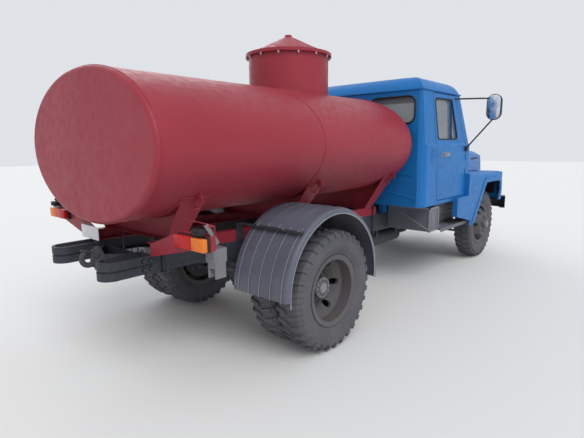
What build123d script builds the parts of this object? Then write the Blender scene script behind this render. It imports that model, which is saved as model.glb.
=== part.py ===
from build123d import *
import os
from math import atan2, cos, degrees, radians, sin, sqrt

os.makedirs("parts", exist_ok=True)

# A bonneted two-axle truck with an oval tank on a sub-frame, in millimetres.
# The origin is on the ground under the middle of the truck. +X points
# forward, +Y to the driver's left and +Z up. Right-hand pieces are drawn
# and the left-hand ones are their mirror images.

# Overall sizes and axles
LENGTH = 6200
REAR_OVERHANG = 1520
FRONT_OVERHANG = 910
WHEELBASE = LENGTH - REAR_OVERHANG - FRONT_OVERHANG
REAR_AXLE_X = REAR_OVERHANG - LENGTH / 2
FRONT_AXLE_X = REAR_AXLE_X + WHEELBASE
FRONT_X = LENGTH / 2
REAR_X = -LENGTH / 2

# Gaps between pieces
SEAT = 0.3  # between curved faces that seat on each other
RUNNING_FIT = 0.05  # radial, between a shaft and its bore
DOOR_GAP = 8  # shut line round a door
BONNET_GAP = 6  # shut line round the bonnet

# Tyres and wheels, 8.25-20 on a 152 mm wide rim
TYRE_RADIUS = 481
TYRE_WIDTH = 236
TREAD_HALF = 92
TYRE_WALL = 18
RIM_FLANGE_RADIUS = 286
RIM_BEAD_RADIUS = 256
RIM_HALF_WIDTH = 90
RIM_PLATE = 9
DISC_OFFSET = 135
FRONT_TRACK = 1630
REAR_TRACK = 1660
DUAL_SPACING = 2 * DISC_OFFSET
HUB_BORE_RADIUS = 30
HUB_RADIUS = 78
DRUM_RADIUS = 200
HAND_HOLES = 6

# Frame: two channels that fall slightly towards the front
FRAME_HALF_WIDTH = 430
FRAME_TOP_MIDDLE = 823
FRAME_FALL = 0.0236
FRAME_FLANGE = 65
FRAME_PLATE = 7
FRAME_FRONT_X = FRONT_AXLE_X + 670
FRAME_REAR_X = REAR_AXLE_X - 1180
FRAME_REAR_DEPTH = 110
FRAME_FULL_DEPTH = 195
FRAME_FRONT_DEPTH = 130
SUB_RAIL_HEIGHT = 88

# Cab
CAB_LENGTH = 1295
CAB_FRONT_X = FRONT_AXLE_X - 785
CAB_REAR_X = CAB_FRONT_X - CAB_LENGTH
CAB_HALF_WIDTH = 972
CAB_BOTTOM_Z = 935
BELT_Z = 1600
BELT_STEP = 15
GUTTER_Z = 2168
GUTTER_HALF_WIDTH = 927
ROOF_Z = 2352
CAB_CORNER_RADIUS = 110
CORNER_EASE = 4  # the corner's outline stands this far outside the flat walls
CAB_WALL = 40
GLASS = 6
GLASS_INSET = 14
SUB_RAIL_FRONT_X = CAB_REAR_X - 25

# Tank
TANK_HALF_WIDTH = 884
TANK_HALF_HEIGHT = 515
TANK_Z = 1608
TANK_REAR_X = REAR_AXLE_X - 1392
TANK_TO_CAB = 90
TANK_LENGTH = CAB_REAR_X - TANK_TO_CAB - TANK_REAR_X
TANK_KNUCKLE = 30
NECK_X = TANK_REAR_X + 0.6885 * TANK_LENGTH
NECK_RADIUS = 388
NECK_FLANGE_RADIUS = 417
NECK_FLANGE = 12
NECK_SEAM_ANGLE = 35
LID_TOP_Z = 2657
LID_HEIGHT = 200
NECK_TOP_Z = LID_TOP_Z - LID_HEIGHT
FIRST_SADDLE_X = TANK_REAR_X + 387
LAST_SADDLE_X = TANK_REAR_X + TANK_LENGTH - 120
SADDLE_STATIONS = [FIRST_SADDLE_X, (FIRST_SADDLE_X + LAST_SADDLE_X) / 2, LAST_SADDLE_X]
SADDLE_WIDTH = 190
SADDLE_PLATE = 8
SADDLE_FOOT = 130
SADDLE_FLARE_Z = 1230
SADDLE_TOP_HALF = 735

# Bonnet, fenders and nose
BONNET_FRONT_X = FRONT_AXLE_X + 690
BONNET_REAR_HALF = 880
BONNET_FRONT_HALF = 640
BONNET_PANEL = 16
FENDER_HALF_WIDTH = 1030
FENDER_SHEET = 12
NOSE_X = FRONT_AXLE_X + 648

# Steering
KINGPIN_Y = 690
KINGPIN_RADIUS = 18
STEER_ARM_LENGTH = 180
TRACK_ROD_Z = 395
TRACK_ROD_RADIUS = 16


def at_x(x):
    """Plane across the truck at x; sketches there use (y, z)."""
    return Plane.YZ.offset(x)


def at_y(y):
    """Plane along the truck at y; sketches there use (x, z), and +amount goes to the right."""
    return Plane.XZ.offset(-y)


def at_z(z):
    return Plane.XY.offset(z)


def write(piece, label):
    piece.label = label
    export_step(piece, f"parts/{label}.step")


def write_sides(right, name, both=("right", "left")):
    """Write a right-hand piece and its mirror image."""
    with BuildPart() as left:
        mirror(right.part, about=Plane.XZ)
    write(right.part, f"{name}_{both[0]}")
    write(left.part, f"{name}_{both[1]}")


def polygon(*points):
    """Add the face inside a closed run of straight lines to the open sketch."""
    Polygon(*points, align=None)


def frame_top(x):
    return FRAME_TOP_MIDDLE - FRAME_FALL * x


# Frame rails
# Columns: x of the station, depth of the rail there
RAIL_STATIONS = [
    (FRAME_REAR_X, FRAME_REAR_DEPTH),
    (REAR_AXLE_X - 840, FRAME_REAR_DEPTH),
    (REAR_AXLE_X - 330, FRAME_FULL_DEPTH),
    (FRONT_AXLE_X - 690, FRAME_FULL_DEPTH),
    (FRAME_FRONT_X, FRAME_FRONT_DEPTH),
]


def rail_outline(inset, overrun):
    """Side view of a rail, drawn in by inset at top and bottom and run past its ends."""
    stations = [(x, depth) for x, depth in RAIL_STATIONS]
    stations[0] = (stations[0][0] - overrun, stations[0][1])
    stations[-1] = (stations[-1][0] + overrun, stations[-1][1])
    top = [(x, frame_top(x) - inset) for x, depth in (stations[0], stations[-1])]
    bottom = [(x, frame_top(x) - depth + inset) for x, depth in reversed(stations)]
    return top + bottom


with BuildPart() as frame_rails:
    with BuildSketch(at_y(-FRAME_HALF_WIDTH)):
        polygon(*rail_outline(0, 0))
    extrude(amount=-FRAME_FLANGE)
    with BuildSketch(at_y(FRAME_PLATE - FRAME_HALF_WIDTH)):
        polygon(*rail_outline(FRAME_PLATE, 20))
    extrude(amount=-FRAME_FLANGE, mode=Mode.SUBTRACT)
    mirror(about=Plane.XZ)
write(frame_rails.part, "frame_rails")

# Crossmembers: channels between the webs, and a V-shaped draft frame at the rear
WEB_INSIDE = FRAME_HALF_WIDTH - FRAME_PLATE
CROSS_WIDTH = 76
CROSS_PLATE = 7
CROSS_FIT = 4
CROSS_STATIONS = [
    REAR_AXLE_X - 500,
    REAR_AXLE_X + 520,
    FRONT_AXLE_X - 2370,
    FRONT_AXLE_X - 1540,
    FRONT_AXLE_X + 430,
]
DRAFT_DEPTH = 165
DRAFT_REAR_HALF = 75
DRAFT_FRONT_HALF = 235
END_BEAM = 62


def rail_depth(x):
    for (x0, d0), (x1, d1) in zip(RAIL_STATIONS, RAIL_STATIONS[1:]):
        if x0 <= x <= x1:
            return d0 + (d1 - d0) * (x - x0) / (x1 - x0)
    return RAIL_STATIONS[-1][1]


with BuildPart() as crossmembers:
    for x in CROSS_STATIONS:
        depth = min(rail_depth(x - CROSS_WIDTH / 2), rail_depth(x + CROSS_WIDTH / 2))
        high = frame_top(x) - FRAME_PLATE - CROSS_FIT
        low = frame_top(x) - depth + FRAME_PLATE + CROSS_FIT
        middle = (x, (high + low) / 2)
        with BuildSketch(Plane.XZ):
            with Locations(middle):
                Rectangle(CROSS_WIDTH, high - low)
                with Locations((CROSS_PLATE, 0)):
                    Rectangle(CROSS_WIDTH, high - low - 2 * CROSS_PLATE, mode=Mode.SUBTRACT)
        extrude(amount=WEB_INSIDE, both=True)
    end_high = frame_top(FRAME_REAR_X) - FRAME_PLATE - CROSS_FIT
    end_low = frame_top(FRAME_REAR_X) - FRAME_REAR_DEPTH + FRAME_PLATE + CROSS_FIT
    with BuildSketch(at_z(end_low)):
        with Locations((FRAME_REAR_X + END_BEAM / 2, 0)):
            Rectangle(END_BEAM, 2 * WEB_INSIDE)
        polygon(
            (FRAME_REAR_X, -DRAFT_FRONT_HALF),
            (FRAME_REAR_X - DRAFT_DEPTH, -DRAFT_REAR_HALF),
            (FRAME_REAR_X - DRAFT_DEPTH, DRAFT_REAR_HALF),
            (FRAME_REAR_X, DRAFT_FRONT_HALF),
        )
    extrude(amount=end_high - end_low)
    with BuildSketch(at_z(end_low + CROSS_PLATE)):
        polygon(
            (FRAME_REAR_X - CROSS_PLATE, -DRAFT_FRONT_HALF + 3 * CROSS_PLATE),
            (FRAME_REAR_X - DRAFT_DEPTH + 2 * CROSS_PLATE, -DRAFT_REAR_HALF + CROSS_PLATE),
            (FRAME_REAR_X - DRAFT_DEPTH + 2 * CROSS_PLATE, DRAFT_REAR_HALF - CROSS_PLATE),
            (FRAME_REAR_X - CROSS_PLATE, DRAFT_FRONT_HALF - 3 * CROSS_PLATE),
        )
        with Locations((FRAME_REAR_X + END_BEAM / 2 + CROSS_PLATE, 0)):
            Rectangle(END_BEAM, 2 * WEB_INSIDE + 2)
    extrude(amount=end_high - end_low, mode=Mode.SUBTRACT)
write(crossmembers.part, "crossmembers")

# Rear buffers: half-loops on end plates, with a groove round their middle
BUFFER_Y = 345
BUFFER_HALF_WIDTH = 85
BUFFER_WALL = 20
BUFFER_HEIGHT = 118
BUFFER_GROOVE = 14
BUFFER_GROOVE_DEPTH = 10
BUFFER_Z = frame_top(FRAME_REAR_X) - FRAME_REAR_DEPTH / 2 + 6
BUFFER_PLATE = 10
BUFFER_ARC_X = REAR_X + BUFFER_HALF_WIDTH


def buffer_loop(half_width, start_x):
    with Locations(((start_x + BUFFER_ARC_X) / 2, -BUFFER_Y)):
        Rectangle(start_x - BUFFER_ARC_X, 2 * half_width)
    with Locations((BUFFER_ARC_X, -BUFFER_Y)):
        Circle(half_width)


with BuildPart() as rear_buffers:
    with BuildSketch(at_z(BUFFER_Z - BUFFER_HEIGHT / 2)):
        buffer_loop(BUFFER_HALF_WIDTH, FRAME_REAR_X)
    extrude(amount=BUFFER_HEIGHT)
    with BuildSketch(at_z(BUFFER_Z - BUFFER_GROOVE / 2)):
        buffer_loop(BUFFER_HALF_WIDTH + 5, FRAME_REAR_X - BUFFER_PLATE)
    extrude(amount=BUFFER_GROOVE, mode=Mode.SUBTRACT)
    with BuildSketch(at_z(BUFFER_Z - BUFFER_GROOVE / 2)):
        buffer_loop(BUFFER_HALF_WIDTH - BUFFER_GROOVE_DEPTH, FRAME_REAR_X)
    extrude(amount=BUFFER_GROOVE)
    with BuildSketch(at_z(BUFFER_Z - BUFFER_HEIGHT / 2)):
        buffer_loop(BUFFER_HALF_WIDTH - BUFFER_WALL, FRAME_REAR_X - BUFFER_PLATE)
    extrude(amount=BUFFER_HEIGHT, mode=Mode.SUBTRACT)
    mirror(about=Plane.XZ)
write(rear_buffers.part, "rear_buffers")

# Tow hook: a round flange on the draft frame, a neck and an open hook
HOOK_FLANGE_RADIUS = 92
HOOK_FLANGE = 16
HOOK_RADIUS = 46
HOOK_SECTION = 19
HOOK_NECK = 36
HOOK_X = FRAME_REAR_X - DRAFT_DEPTH
HOOK_Z = (end_high + end_low) / 2
HOOK_CENTRE_X = HOOK_X - HOOK_FLANGE - HOOK_NECK - 22

with BuildPart() as tow_hook:
    with BuildSketch(at_x(HOOK_X - HOOK_FLANGE)):
        with Locations((0, HOOK_Z)):
            Circle(HOOK_FLANGE_RADIUS)
    extrude(amount=HOOK_FLANGE)
    with BuildSketch(at_x(HOOK_X - HOOK_FLANGE)):
        with Locations((0, HOOK_Z - 14)):
            Circle(HOOK_SECTION + 12)
    extrude(amount=-HOOK_NECK)
    with BuildLine(Plane.XZ) as hook_line:
        CenterArc((HOOK_CENTRE_X, HOOK_Z + 18), HOOK_RADIUS, -50, -190)
    with BuildSketch(Plane(origin=hook_line.line @ 0, z_dir=hook_line.line % 0)):
        Circle(HOOK_SECTION)
    sweep(path=hook_line.line)
write(tow_hook.part, "tow_hook")

# Sub-rails under the tank, and the cradles that stand on them


def sub_rail_top(x):
    return frame_top(x) + SUB_RAIL_HEIGHT


def sub_rail_outline(inset, overrun):
    ends = (FRAME_REAR_X - overrun, SUB_RAIL_FRONT_X + overrun)
    top = [(x, sub_rail_top(x) - inset) for x in ends]
    bottom = [(x, frame_top(x) + inset) for x in reversed(ends)]
    return top + bottom


with BuildPart() as sub_rails:
    with BuildSketch(at_y(-FRAME_HALF_WIDTH)):
        polygon(*sub_rail_outline(0, 0))
    extrude(amount=-FRAME_FLANGE)
    with BuildSketch(at_y(FRAME_PLATE - FRAME_HALF_WIDTH)):
        polygon(*sub_rail_outline(FRAME_PLATE, 20))
    extrude(amount=-FRAME_FLANGE, mode=Mode.SUBTRACT)
    mirror(about=Plane.XZ)
write(sub_rails.part, "sub_rails")


def saddle_block(x, start, width, inset):
    """Cradle section at x, cut to the tank's underside and drawn in by inset."""
    foot = sub_rail_top(x) - SADDLE_WIDTH * FRAME_FALL
    top = TANK_Z - TANK_HALF_HEIGHT / 2
    with BuildPart() as block:
        with BuildSketch(at_x(start)):
            polygon(
                (-FRAME_HALF_WIDTH, foot),
                (FRAME_HALF_WIDTH, foot),
                (SADDLE_TOP_HALF, top),
                (-SADDLE_TOP_HALF, top),
            )
            if inset:
                offset(amount=-inset)
        extrude(amount=width)
        with BuildSketch(at_x(start - 1)):
            with Locations((0, TANK_Z)):
                Ellipse(TANK_HALF_WIDTH + SEAT + inset, TANK_HALF_HEIGHT + SEAT + inset)
        extrude(amount=width + 2, mode=Mode.SUBTRACT)
    return block.part


def saddle_form(x):
    """One cradle: a ring of plate with a web across its middle, on the sloping rails."""
    hollow = (SADDLE_WIDTH - SADDLE_PLATE) / 2
    with BuildPart() as form:
        add(saddle_block(x, x - SADDLE_WIDTH / 2, SADDLE_WIDTH, 0))
        add(saddle_block(x, x - SADDLE_WIDTH / 2, hollow, SADDLE_PLATE), mode=Mode.SUBTRACT)
        add(saddle_block(x, x + SADDLE_PLATE / 2, hollow, SADDLE_PLATE), mode=Mode.SUBTRACT)
        with BuildSketch(Plane.XZ):
            top = TANK_Z - TANK_HALF_HEIGHT / 2
            polygon(
                (x - SADDLE_WIDTH / 2, top),
                (x - SADDLE_WIDTH / 2, SADDLE_FLARE_Z),
                (x - SADDLE_FOOT / 2, sub_rail_top(x) - SADDLE_FOOT),
                (x + SADDLE_FOOT / 2, sub_rail_top(x) - SADDLE_FOOT),
                (x + SADDLE_WIDTH / 2, SADDLE_FLARE_Z),
                (x + SADDLE_WIDTH / 2, top),
            )
        extrude(amount=TANK_HALF_WIDTH, both=True, mode=Mode.INTERSECT)
        rail_surface = Plane(origin=(0, 0, sub_rail_top(0)), z_dir=(FRAME_FALL, 0, 1))
        split(bisect_by=rail_surface, keep=Keep.TOP)
    return form.part


with BuildPart() as tank_saddles:
    for x in SADDLE_STATIONS:
        add(saddle_form(x))
write(tank_saddles.part, "tank_saddles")

# Tank: an oval barrel with rounded end seams and a round neck with a flange
with BuildPart() as tank_shell:
    with BuildSketch(at_x(TANK_REAR_X)):
        with Locations((0, TANK_Z)):
            Ellipse(TANK_HALF_WIDTH, TANK_HALF_HEIGHT)
    extrude(amount=TANK_LENGTH)
    fillet(edges().filter_by(GeomType.ELLIPSE), radius=TANK_KNUCKLE)
    with BuildSketch(at_z(TANK_Z + TANK_HALF_HEIGHT / 2)):
        with Locations(Location((NECK_X, 0, 0), (0, 0, NECK_SEAM_ANGLE))):
            Circle(NECK_RADIUS)
    extrude(amount=NECK_TOP_Z - TANK_Z - TANK_HALF_HEIGHT / 2)
    with BuildSketch(at_z(NECK_TOP_Z - NECK_FLANGE)):
        with Locations((NECK_X, 0)):
            Circle(NECK_FLANGE_RADIUS)
    extrude(amount=NECK_FLANGE)
write(tank_shell.part, "tank_shell")

# Lashing lugs on the tank's lower sides, one above each end of each cradle
LUG_Z = 1302
LUG_PLATE = 10
LUG_WIDTH = 48
LUG_REACH = 52
LUG_HOLE = 9

with BuildPart() as tank_lugs:
    drop = (TANK_Z - LUG_Z) / TANK_HALF_HEIGHT
    lug_y = TANK_HALF_WIDTH * sqrt(1 - drop**2)
    lug_angle = degrees(atan2(-drop / TANK_HALF_HEIGHT, lug_y / TANK_HALF_WIDTH**2))
    for x in SADDLE_STATIONS:
        with BuildSketch(at_x(x - LUG_PLATE / 2)):
            with Locations(Location((lug_y, LUG_Z, 0), (0, 0, lug_angle))):
                RectangleRounded(2 * LUG_REACH, LUG_WIDTH, LUG_WIDTH / 3)
                with Locations((LUG_REACH / 2, 0)):
                    Circle(LUG_HOLE, mode=Mode.SUBTRACT)
            mirror(about=Plane.YZ)
            with Locations((0, TANK_Z)):
                Ellipse(TANK_HALF_WIDTH + SEAT, TANK_HALF_HEIGHT + SEAT, mode=Mode.SUBTRACT)
        extrude(amount=LUG_PLATE)
write(tank_lugs.part, "tank_lugs")

# Lid bolted on the neck's flange: a rim and a shallow cone with a capped point
LID_CAP_RADIUS = 34
LID_CAP = 14

with BuildPart() as neck_lid:
    with BuildSketch(at_y(0)):
        polygon(
            (NECK_X, NECK_TOP_Z),
            (NECK_X + NECK_FLANGE_RADIUS, NECK_TOP_Z),
            (NECK_X + NECK_FLANGE_RADIUS, NECK_TOP_Z + NECK_FLANGE),
            (NECK_X + NECK_RADIUS, NECK_TOP_Z + NECK_FLANGE),
            (NECK_X + LID_CAP_RADIUS, LID_TOP_Z - LID_CAP),
            (NECK_X + LID_CAP_RADIUS, LID_TOP_Z),
            (NECK_X, LID_TOP_Z),
        )
    revolve(axis=Axis((NECK_X, 0, 0), (0, 0, 1)))
write(neck_lid.part, "neck_lid")

# Mudguards over the twin wheels, with ribs round them and a turned-in outer lip
GUARD_X = REAR_AXLE_X - 20
GUARD_Z = 552
GUARD_RADIUS = 585
GUARD_SHEET = 6
GUARD_INNER_Y = 563
GUARD_OUTER_Y = 1100
GUARD_LIP = 42
GUARD_SHOULDER = 30
GUARD_FRONT_LOW_Z = 472
GUARD_RIBS = 5
GUARD_RIB_WIDTH = 12
GUARD_RIB_HEIGHT = 6


def guard_arch(radius):
    """Face under an arch of this radius, down to the front tail's end."""
    with BuildLine() as arch:
        CenterArc((GUARD_X, GUARD_Z), radius, 0, 180)
        Polyline(
            (GUARD_X - radius, GUARD_Z),
            (GUARD_X - radius, GUARD_FRONT_LOW_Z),
            (GUARD_X + radius, GUARD_FRONT_LOW_Z),
            (GUARD_X + radius, GUARD_Z),
        )
    make_face(arch.edges())


def guard_block(radius, width, shoulder):
    """Solid arch of this radius, with its outer edge rounded."""
    with BuildPart() as block:
        with BuildSketch(at_y(-GUARD_INNER_Y)):
            guard_arch(radius)
        extrude(amount=width)
        outer_rim = block.edges().group_by(Axis.Y)[0]
        fillet([edge for edge in outer_rim if edge.center().Z > GUARD_FRONT_LOW_Z + 1], radius=shoulder)
    return block.part


with BuildPart() as mudguards:
    width = GUARD_OUTER_Y - GUARD_INNER_Y
    add(guard_block(GUARD_RADIUS, width, GUARD_SHOULDER))
    rib_pitch = width / GUARD_RIBS
    for index in range(GUARD_RIBS):
        rib_y = GUARD_INNER_Y + rib_pitch * (index + 0.5)
        with BuildSketch(at_y(-rib_y + GUARD_RIB_WIDTH / 2)):
            guard_arch(GUARD_RADIUS + GUARD_RIB_HEIGHT)
        extrude(amount=GUARD_RIB_WIDTH)
    sheet_block = guard_block(GUARD_RADIUS - GUARD_SHEET, width - GUARD_SHEET, GUARD_SHOULDER - GUARD_SHEET)
    add(sheet_block, mode=Mode.SUBTRACT)
    with BuildSketch(at_y(-GUARD_INNER_Y)):
        guard_arch(GUARD_RADIUS - GUARD_LIP)
    extrude(amount=width, mode=Mode.SUBTRACT)
    with BuildSketch(at_y(-GUARD_INNER_Y)):
        with Locations((GUARD_X, GUARD_FRONT_LOW_Z)):
            Rectangle(2 * GUARD_RADIUS - 2 * GUARD_SHEET, 10)
        with Locations((GUARD_X - GUARD_RADIUS, GUARD_FRONT_LOW_Z + (GUARD_Z - GUARD_FRONT_LOW_Z) / 2 - 6)):
            Rectangle(4 * GUARD_LIP, GUARD_Z - GUARD_FRONT_LOW_Z)
    extrude(amount=width, mode=Mode.SUBTRACT)
    mirror(about=Plane.XZ)
write(mudguards.part, "mudguards")

# Bars that carry the mudguards, bolted to the sides of the sub-rails
BAR_WIDTH = 40
BAR_THICK = 10
BAR_END_Y = 1082
BAR_OFFSET = 400
BRACKET_PLATE = 12

with BuildPart() as mudguard_bars:
    for direction in (-1, 1):
        near_edge = BAR_OFFSET - BAR_WIDTH / 2
        bar_z = GUARD_Z + sqrt((GUARD_RADIUS + GUARD_RIB_HEIGHT) ** 2 - near_edge**2) + SEAT
        bar_x = GUARD_X + direction * BAR_OFFSET
        with BuildSketch(at_z(bar_z)):
            with Locations((bar_x, -(BAR_END_Y + FRAME_HALF_WIDTH) / 2)):
                Rectangle(BAR_WIDTH, BAR_END_Y - FRAME_HALF_WIDTH)
        extrude(amount=BAR_THICK)
        with BuildSketch(at_y(-FRAME_HALF_WIDTH)):
            with Locations((bar_x, (bar_z + BAR_THICK + frame_top(bar_x)) / 2)):
                Rectangle(BAR_WIDTH + 20, bar_z + BAR_THICK - frame_top(bar_x))
        extrude(amount=BRACKET_PLATE)
    mirror(about=Plane.XZ)
write(mudguard_bars.part, "mudguard_bars")

# Brackets for the rear lamps: a rising channel from the sub-rail's end and a strap
LAMP_X = REAR_AXLE_X - 1200
LAMP_INNER_Y = 770
LAMP_SPLIT_Y = 948
LAMP_OUTER_Y = 1071
LAMP_LOW_Z = 1015
LAMP_HIGH_Z = 1102
LAMP_DEPTH = 55
ARM_DEPTH = 48
ARM_HEIGHT = 84
ARM_PLATE = 6
STRAP_Z = 1158
STRAP_INNER_Y = 570

with BuildPart() as lamp_brackets:
    arm_x = LAMP_X + ARM_DEPTH
    arm_root_z = sub_rail_top(FRAME_REAR_X) - 2
    with BuildSketch(at_x(LAMP_X)):
        polygon(
            (-FRAME_HALF_WIDTH, arm_root_z),
            (-FRAME_HALF_WIDTH, arm_root_z - ARM_HEIGHT),
            (-LAMP_SPLIT_Y, LAMP_LOW_Z),
            (-LAMP_OUTER_Y + 20, LAMP_LOW_Z),
            (-LAMP_OUTER_Y + 20, LAMP_HIGH_Z),
            (-LAMP_INNER_Y, LAMP_HIGH_Z),
        )
    extrude(amount=ARM_DEPTH)
    with BuildSketch(at_x(LAMP_X + ARM_PLATE)):
        polygon(
            (-FRAME_HALF_WIDTH - ARM_PLATE, arm_root_z - ARM_PLATE),
            (-FRAME_HALF_WIDTH - ARM_PLATE, arm_root_z - ARM_HEIGHT + ARM_PLATE),
            (-LAMP_SPLIT_Y, LAMP_LOW_Z + ARM_PLATE),
            (-LAMP_OUTER_Y + 20 + ARM_PLATE, LAMP_LOW_Z + ARM_PLATE),
            (-LAMP_OUTER_Y + 20 + ARM_PLATE, LAMP_HIGH_Z - ARM_PLATE),
            (-LAMP_INNER_Y, LAMP_HIGH_Z - ARM_PLATE),
        )
    extrude(amount=ARM_DEPTH, mode=Mode.SUBTRACT)
    with BuildSketch(at_z(STRAP_Z)):
        polygon(
            (SADDLE_STATIONS[0] - SADDLE_WIDTH / 2, -STRAP_INNER_Y - 60),
            (SADDLE_STATIONS[0] - SADDLE_WIDTH / 2, -STRAP_INNER_Y),
            (LAMP_X + ARM_DEPTH, -LAMP_OUTER_Y + 70),
            (LAMP_X, -LAMP_OUTER_Y + 70),
            (LAMP_X, -LAMP_OUTER_Y + 20),
            (LAMP_X + ARM_DEPTH, -LAMP_OUTER_Y + 20),
        )
    extrude(amount=ARM_PLATE)
    with BuildSketch(at_x(LAMP_X + ARM_DEPTH - ARM_PLATE)):
        with Locations((-LAMP_OUTER_Y + 45, (LAMP_HIGH_Z + STRAP_Z) / 2)):
            Rectangle(50, STRAP_Z - LAMP_HIGH_Z)
    extrude(amount=ARM_PLATE)
    mirror(about=Plane.XZ)
write(lamp_brackets.part, "lamp_brackets")

# Rear lamps: a long red lens and an amber corner lens on each side
with BuildPart() as rear_lamps:
    for near_y, far_y in ((LAMP_INNER_Y, LAMP_SPLIT_Y - 2), (LAMP_SPLIT_Y + 2, LAMP_OUTER_Y)):
        with BuildSketch(at_x(LAMP_X)):
            with Locations((-(near_y + far_y) / 2, (LAMP_LOW_Z + LAMP_HIGH_Z) / 2)):
                RectangleRounded(far_y - near_y, LAMP_HIGH_Z - LAMP_LOW_Z, 8)
        extrude(amount=-LAMP_DEPTH)
    mirror(about=Plane.XZ)
write(rear_lamps.part, "rear_lamps")

# Blank number plate on a bracket from the left sub-rail's end
PLATE_WIDTH = 280
PLATE_HEIGHT = 100
PLATE_Y = 350
PLATE_Z = 965
PLATE_THICK = 3
PLATE_X = FRAME_REAR_X - 62

with BuildPart() as number_plate:
    with BuildSketch(at_x(PLATE_X)):
        with Locations((PLATE_Y, PLATE_Z)):
            RectangleRounded(PLATE_WIDTH, PLATE_HEIGHT, 10)
    extrude(amount=PLATE_THICK)
    with BuildSketch(at_x(PLATE_X + PLATE_THICK)):
        with Locations((FRAME_HALF_WIDTH - 20, PLATE_Z - 24)):
            Rectangle(40, 30)
    extrude(amount=FRAME_REAR_X - PLATE_X - PLATE_THICK)
write(number_plate.part, "number_plate")

# Leaf springs: nested arcs, longest on top, with brackets on the frame
REAR_LEAVES = 8
FRONT_LEAVES = 7
# Columns: axle x, y of the spring, width, leaf, leaves, half length, top z at the axle, camber
SPRING_SETS = [
    (REAR_AXLE_X, 485, 65, 9, REAR_LEAVES, 690, 646, 62),
    (FRONT_AXLE_X, 397, 65, 8, FRONT_LEAVES, 620, 520, 52),
]
SHORTEST_LEAF = 0.24


def leaf_pack(x, leaf, leaves, half_length, top_z, camber):
    """Side view of the leaves: each is a sector of a ring about one centre above."""
    centre_z = top_z + (half_length**2 + camber**2) / (2 * camber)
    radius = centre_z - top_z
    for index in range(leaves):
        reach = half_length * (1 - (1 - SHORTEST_LEAF) * index / (leaves - 1))
        half_angle = degrees(reach / radius)
        inner = radius + leaf * index
        outer = inner + leaf
        with BuildLine() as sector:
            low = CenterArc((x, centre_z), outer, 270 - half_angle, 2 * half_angle)
            high = CenterArc((x, centre_z), inner, 270 - half_angle, 2 * half_angle)
            Line(low @ 0, high @ 0)
            Line(low @ 1, high @ 1)
        make_face(sector.edges())


with BuildPart() as leaf_springs:
    for x, y, width, leaf, leaves, half_length, top_z, camber in SPRING_SETS:
        with BuildSketch(at_y(-y + width / 2)):
            leaf_pack(x, leaf, leaves, half_length, top_z, camber)
        extrude(amount=width)
    mirror(about=Plane.XZ)
write(leaf_springs.part, "leaf_springs")

# Spring brackets: slotted blocks that hold the ends of the top leaves
BRACKET_LENGTH = 120


with BuildPart() as spring_brackets:
    for x, y, width, leaf, leaves, half_length, top_z, camber in SPRING_SETS:
        for end in (-1, 1):
            bracket_x = x + end * (half_length + 6)
            if y > FRAME_HALF_WIDTH:
                with BuildSketch(at_y(-FRAME_HALF_WIDTH)):
                    with Locations((bracket_x, frame_top(bracket_x) - 62)):
                        Rectangle(BRACKET_LENGTH, 108)
                extrude(amount=y + width / 2 + 12 - FRAME_HALF_WIDTH)
                with BuildSketch(at_y(-y + width / 2 + 12)):
                    with Locations((bracket_x, top_z + camber)):
                        Rectangle(BRACKET_LENGTH * 0.8, 130)
                extrude(amount=width + 24)
                with BuildSketch(at_y(-y + width / 2)):
                    with Locations((bracket_x, top_z + camber - 45)):
                        Rectangle(2 * BRACKET_LENGTH, 110)
                extrude(amount=width, mode=Mode.SUBTRACT)
            else:
                rail_bottom = frame_top(bracket_x) - rail_depth(bracket_x)
                with BuildSketch(at_y(-y + width / 2 + 6)):
                    with Locations((bracket_x, (rail_bottom + top_z) / 2)):
                        Rectangle(BRACKET_LENGTH * 0.7, rail_bottom - top_z + 24)
                extrude(amount=width + 12)
                with BuildSketch(at_y(-y + width / 2)):
                    with Locations((bracket_x, top_z + camber - 60)):
                        Rectangle(2 * BRACKET_LENGTH, 124)
                extrude(amount=width, mode=Mode.SUBTRACT)
    with BuildSketch(Plane.XZ):
        polygon(*rail_outline(0, 400))
    extrude(amount=FRAME_HALF_WIDTH, both=True, mode=Mode.SUBTRACT)
    mirror(about=Plane.XZ)
write(spring_brackets.part, "spring_brackets")

# Rear axle: banjo casing, tubes, spring seats, spindles and brake plates
AXLE_TUBE_RADIUS = 52
BANJO_RADIUS = 175
BANJO_HALF_DEPTH = 95
REAR_HUB_Y = 622
SPINDLE_END = REAR_TRACK / 2 + 38
PINION_LENGTH = 290
PINION_Z = 500
BRAKE_PLATE = 6

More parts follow.
